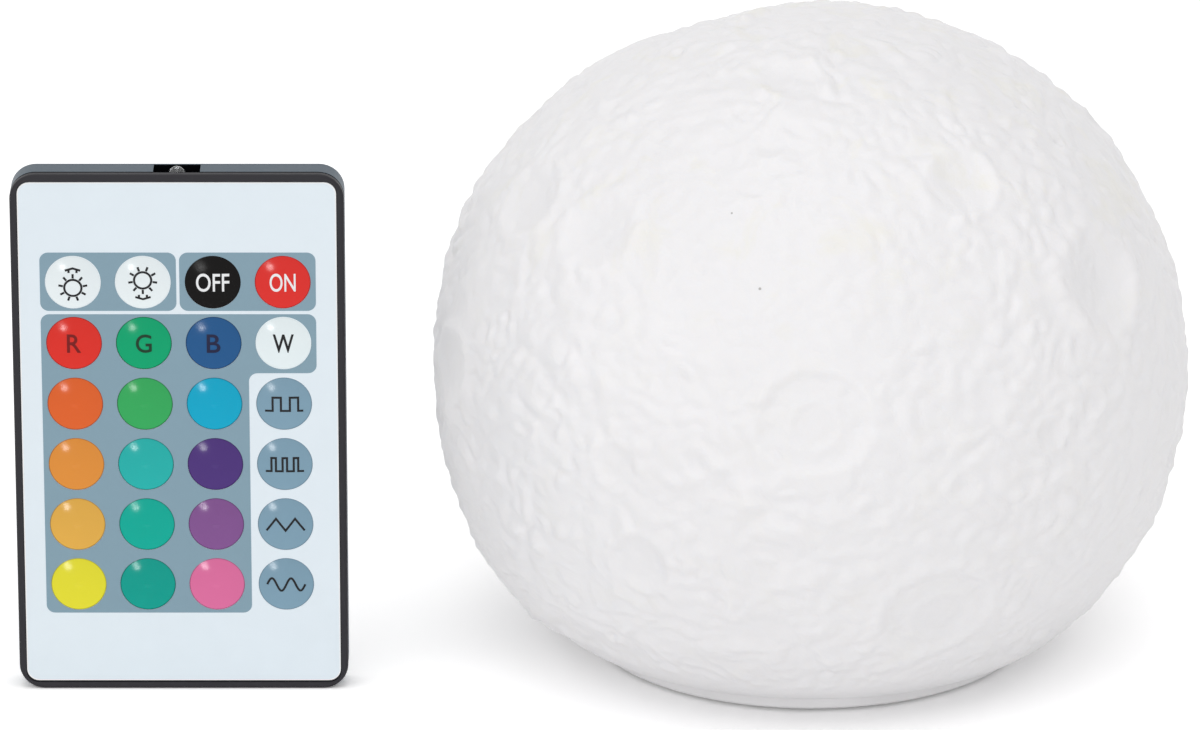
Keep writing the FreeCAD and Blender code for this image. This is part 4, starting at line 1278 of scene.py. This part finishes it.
printLook = {
    "thickness": 0.05, "proud": 0.02, "domePitch": 0.7, "sheetThickness": 0.35,
    # The edge width and colour on the next line give a painted highlight along the sheet's cut edge
    "sheetCorner": 1.9, "sheetTrim": 0.2, "sheetEdge": 0.17, "edgeColour": (252, 252, 252),
    "sheetColour": (232, 242, 249), "keyPlay": 0.02, "panelColour": (134, 162, 177),
    "panelCorner": 1.35,
    "panels": {
        "panel_light": [(-21.5, 4.9), (-21.5, -4.75), (-0.25, -4.75), (-0.25, 4.9)],
        "panel_power": [(0.25, 4.9), (0.25, -4.75), (21.5, -4.75), (21.5, 4.9)],
        "panel_colours": [
            (-21.5, -5.3), (-21.5, -55.35), (10.9, -55.35), (10.9, -15.1), (21.5, -15.1),
            (21.5, -5.3),
        ],
    },
    "panelKeys": {
        "panel_light": ["brighter", "dimmer"],
        "panel_power": ["off", "on"],
    },
    "panelGloss": 0.38,
    "keyInks": {
        "off": "white_ink",
        "on": "white_ink",
        "red": "red_letter",
        "green": "green_letter",
        "blue": "blue_letter",
    },
    "inks": {
        "dark_ink": (12, 13, 17),
        "white_ink": (240, 241, 243),
        "red_letter": (118, 6, 6),
        "green_letter": (0, 50, 26),
        "blue_letter": (14, 18, 56),
    },
    "line": 0.34,
    # Suns: their middle, and which way the first ray points, in degrees
    "suns": {"brighter": (-0.85, 90), "dimmer": (0.4, -90)},
    "sunRadius": 1.34, "rayCount": 9, "rays": (1.57, 2.28),
    # Arrows at the suns: where the point is, and which way it points
    "arrows": {"brighter": (2.35, 1), "dimmer": (-2.75, -1)},
    "arrowWing": (1.2, 0.36), "arrowStem": (0.62, 0.32, 0.42),
    # Words: width, height and how much bolder
    "words": {
        "off": ("OFF", 5.2, 3.0, 0.03),
        "on": ("ON", 4.05, 3.0, 0.03),
        "red": ("R", 2.2, 3.05, 0.045),
        "green": ("G", 2.5, 3.05, 0.045),
        "blue": ("B", 2.15, 3.05, 0.045),
        "white": ("W", 3.3, 3.05, 0.055),
    },
    # Lines that say how a mode changes the light: where the square ones jump, and the heights that
    # the others pass through
    "waveHalf": 3.0, "jumpHeight": 1.1,
    "jumps": {
        "flash": (-1.8, -0.5, 0.9, 2.2),
        "strobe": (-2.1, -1.4, -0.35, 0.35, 1.4, 2.1),
    },
    "slopes": {
        "fade": [-1.0, 1.0, -1.0, 1.0, -1.0],
        "smooth": [1.05 * math.sin(math.pi * step / 9) for step in range(37)],
    },
}
modeKeys = [*printLook["jumps"], *printLook["slopes"]]
colourKeys = [key for key in list(keyFilms)[4:] if key not in modeKeys]
printLook["panelKeys"]["panel_colours"] = colourKeys


def ink(name, colour, gloss=0.5):
    look = {"colour": colour, "gloss": gloss, "driftSize": 6, "drift": 0.01}
    return finish(name, {**look, "depth": 0.002, "sheen": 0.25})


def upright(spot):
    return onPlane(spot, toRight, upward, -toBack)


def faceInlay(name, outlines, material, thickness, proud):
    mesh = cutAlongGrid(flatMesh(outlines, thickness), 0)
    spotOf = upright(Vector((remoteX, overlayLow.y, firstRow)))
    return layPrint(name, [mesh], material, spotOf, "remote", proud)


def keyHoles(keys, look):
    radius = keyRadius / mm + look["keyPlay"]
    middles = [middleOf("key_" + key) for key in keys]
    return [circle((at.x - remoteX) / mm, (at.z - firstRow) / mm, radius) for at in middles]


def sheetOutline(look, inwards=0):
    left, right = (overlayLow.x - remoteX) / mm + inwards, (overlayHigh.x - remoteX) / mm - inwards
    bottom = (overlayLow.z - firstRow) / mm + look["sheetTrim"] + inwards
    top = (overlayHigh.z - firstRow) / mm - inwards
    corners = [(left, top), (left, bottom), (right, bottom), (right, top)]
    return roundedOutline(corners, look["sheetCorner"] - inwards)


def addFaceSheet(look):
    # Face sheet whose holes fit the keys closely, a near-white line painted along its cut edge as
    # the highlight that the edge catches, and the panels round the keys
    thin = look["thickness"], look["proud"]
    sheetInk = ink("face_sheet", look["sheetColour"], look["panelGloss"])
    outlines = [sheetOutline(look)] + keyHoles(keyFilms, look)
    sheet = faceInlay("face_sheet", outlines, sheetInk, look["sheetThickness"], 0)
    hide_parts("keypad_overlay")
    # A near-white ring along the sheet's edge: a painted highlight
    highlightRims = [sheetOutline(look), sheetOutline(look, look["sheetEdge"])]
    faceInlay("face_sheet_edge", highlightRims, ink("sheet_cut_edge", look["edgeColour"]), *thin)
    panelInk = ink("panel_ink", look["panelColour"], look["panelGloss"])
    for name, corners in look["panels"].items():
        holes = keyHoles(look["panelKeys"][name], look)
        outline = roundedOutline(corners, look["panelCorner"])
        faceInlay(name, [outline] + holes, panelInk, *thin)


# Icons, each from its entry in printLook


def sun(entry, look):
    # Ring with rays, the first of which points straight up or down
    middle, turn = entry
    line = look["line"]
    outlines = [circle(0, middle, look["sunRadius"] + side * line / 2) for side in (1, -1)]
    for step in range(look["rayCount"]):
        angle = math.radians(turn + 360 * step / look["rayCount"])
        way = Vector((math.cos(angle), math.sin(angle)))
        ray = [tuple(way * reach) for reach in look["rays"]]
        outlines.append(moved(stroke(ray, line), 0, middle))
    return outlines


def arrow(entry, look):
    point, side = entry
    half, drop = look["arrowWing"]
    place, start, length = look["arrowStem"]
    lines = [[(-half, point - side * drop), (0, point), (half, point - side * drop)]]
    top = point - side * start
    lines += [[(x, top), (x, top - side * length)] for x in (-place, place)]
    return [stroke(line, look["line"]) for line in lines]


def squareWave(jumps, look):
    half, level = look["waveHalf"], -look["jumpHeight"]
    points = [(-half, level)]
    for place in jumps:
        points += [(place, level), (place, -level)]
        level = -level
    return [stroke(points + [(half, level)], look["line"])]


def slopingWave(heights, look):
    half, count = look["waveHalf"], len(heights) - 1
    points = [(-half + 2 * half * step / count, height) for step, height in enumerate(heights)]
    return [stroke(points, look["line"])]


def addKeyPrint(name, key, mesh, look):
    # The print follows the key's dome
    body = "key_" + key
    middle = middleOf(body)
    flat = upright(Vector((middle.x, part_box(body)[0].y, middle.z)))

    def onDome(across, up, out):
        reach = math.hypot(across, up) * mm
        drop = domeRadius - math.sqrt(domeRadius ** 2 - reach ** 2)
        return flat(across, up, out - drop / mm)

    cutAlongGrid(mesh, look["domePitch"])
    material = keyInks[look["keyInks"].get(key, "dark_ink")]
    layPrint(name + key, [mesh], material, onDome, body, look["proud"])


def addKeyPrints(look):
    thickness = look["thickness"]
    kinds = {
        "suns": sun, "words": None, "jumps": squareWave, "slopes": slopingWave, "arrows": arrow,
    }
    for kind, draw in kinds.items():
        for key, entry in look[kind].items():
            if draw:
                mesh = flatMesh(draw(entry, look), thickness)
            else:
                word, width, height, weight = entry
                mesh = wordMesh(word, width, height, thickness, weight)
            addKeyPrint("arrow_" if kind == "arrows" else "print_", key, mesh, look)


keyInks = {name: ink(name, colour) for name, colour in printLook["inks"].items()}
addFaceSheet(printLook)
addKeyPrints(printLook)


# Marks that are read from behind the remote: pressed ones on the coin cell's outer face, and on the
# back of the case the cell that it takes, with two arrows for the way the tray comes out. Places
# are from the middle of the cell, and from the middle of the case's lower edge.
coinPrint = {
    "colour": (150, 151, 152), "gloss": 0.4, "grain": 0.1, "depth": 0.002, "metal": 1,
    "thickness": 0.04,
    "words": [("+", 2.4, 2.4, 4.6), ("3 V", 4.0, 2.0, 0.4), ("CR2025", 8.4, 2.0, -3.6)],
}
backPrint = {
    "colour": (54, 63, 72), "gloss": 0.5, "depth": 0.003, "sheen": 0.2,
    "thickness": 0.04, "weight": 0.02, "words": [("CR2025", 9.0, 1.8, 11.6)],
    "arrowPlaces": (-9.5, 9.5),
    "arrow": [(-1.7, 9.6), (1.7, 9.6), (0, 6.6)],
    "bar": [(-1.7, 10.3), (1.7, 10.3), (1.7, 10.8), (-1.7, 10.8)],
}


def addRearMarks(name, inkName, look, spot, body):
    meshes = []
    for word, width, height, up in look["words"]:
        weight = look.get("weight", 0.0)
        meshes.append(wordMesh(word, width, height, look["thickness"], weight, 0, up))
    for x in look.get("arrowPlaces", ()):
        for outline in (look["arrow"], look["bar"]):
            meshes.append(flatMesh([moved(outline, x, 0)], look["thickness"]))
    face = onPlane(spot, -toRight, upward, toBack)
    layPrint(name, meshes, finish(inkName, look), face, body)


coinMiddle = middleOf("coin_cell")
coinSpot = Vector((coinMiddle.x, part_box("coin_cell")[1].y, coinMiddle.z))
backSpot = Vector(((backLow.x + backHigh.x) / 2, backHigh.y, backLow.z))
addRearMarks("coin_marks", "mark_metal", coinPrint, coinSpot, "tray")
addRearMarks("back_marks", "back_mark_ink", backPrint, backSpot, "remote")


# The two posts inside the clear LED, one of them with the cup that holds the die. Corners are
# across, and up from the LED's foot, or down from its top where they are negative.
postLook = {
    "colour": (214, 214, 212), "gloss": 0.25, "grain": 0.1, "depth": 0.002, "metal": 1,
    "thickness": 0.4, "proud": 0.22,
    "posts": [
        [(-0.72, 0.2), (-0.38, 0.2), (-0.38, -2.3), (-0.1, -1.5), (-0.85, -1.5)],
        [(0.38, 0.2), (0.72, 0.2), (0.72, -1.6), (0.2, -1.6), (0.38, -2.2)],
    ],
}


def addLedPosts(look):
    height = (ledHigh.z - ledLow.z) / mm
    outlines = [
        [(x, up if up > 0 else height + up) for x, up in post]
        for post in look["posts"]
    ]
    mesh = cutAlongGrid(flatMesh(outlines, look["thickness"]), 0)
    spotOf = upright(Vector((ledMiddle.x, ledMiddle.y, ledLow.z)))
    material = finish("post_metal", look)
    layPrint("ir_led_posts", [mesh], material, spotOf, "remote", look["proud"])


addLedPosts(postLook)
print("print on the remote ready")
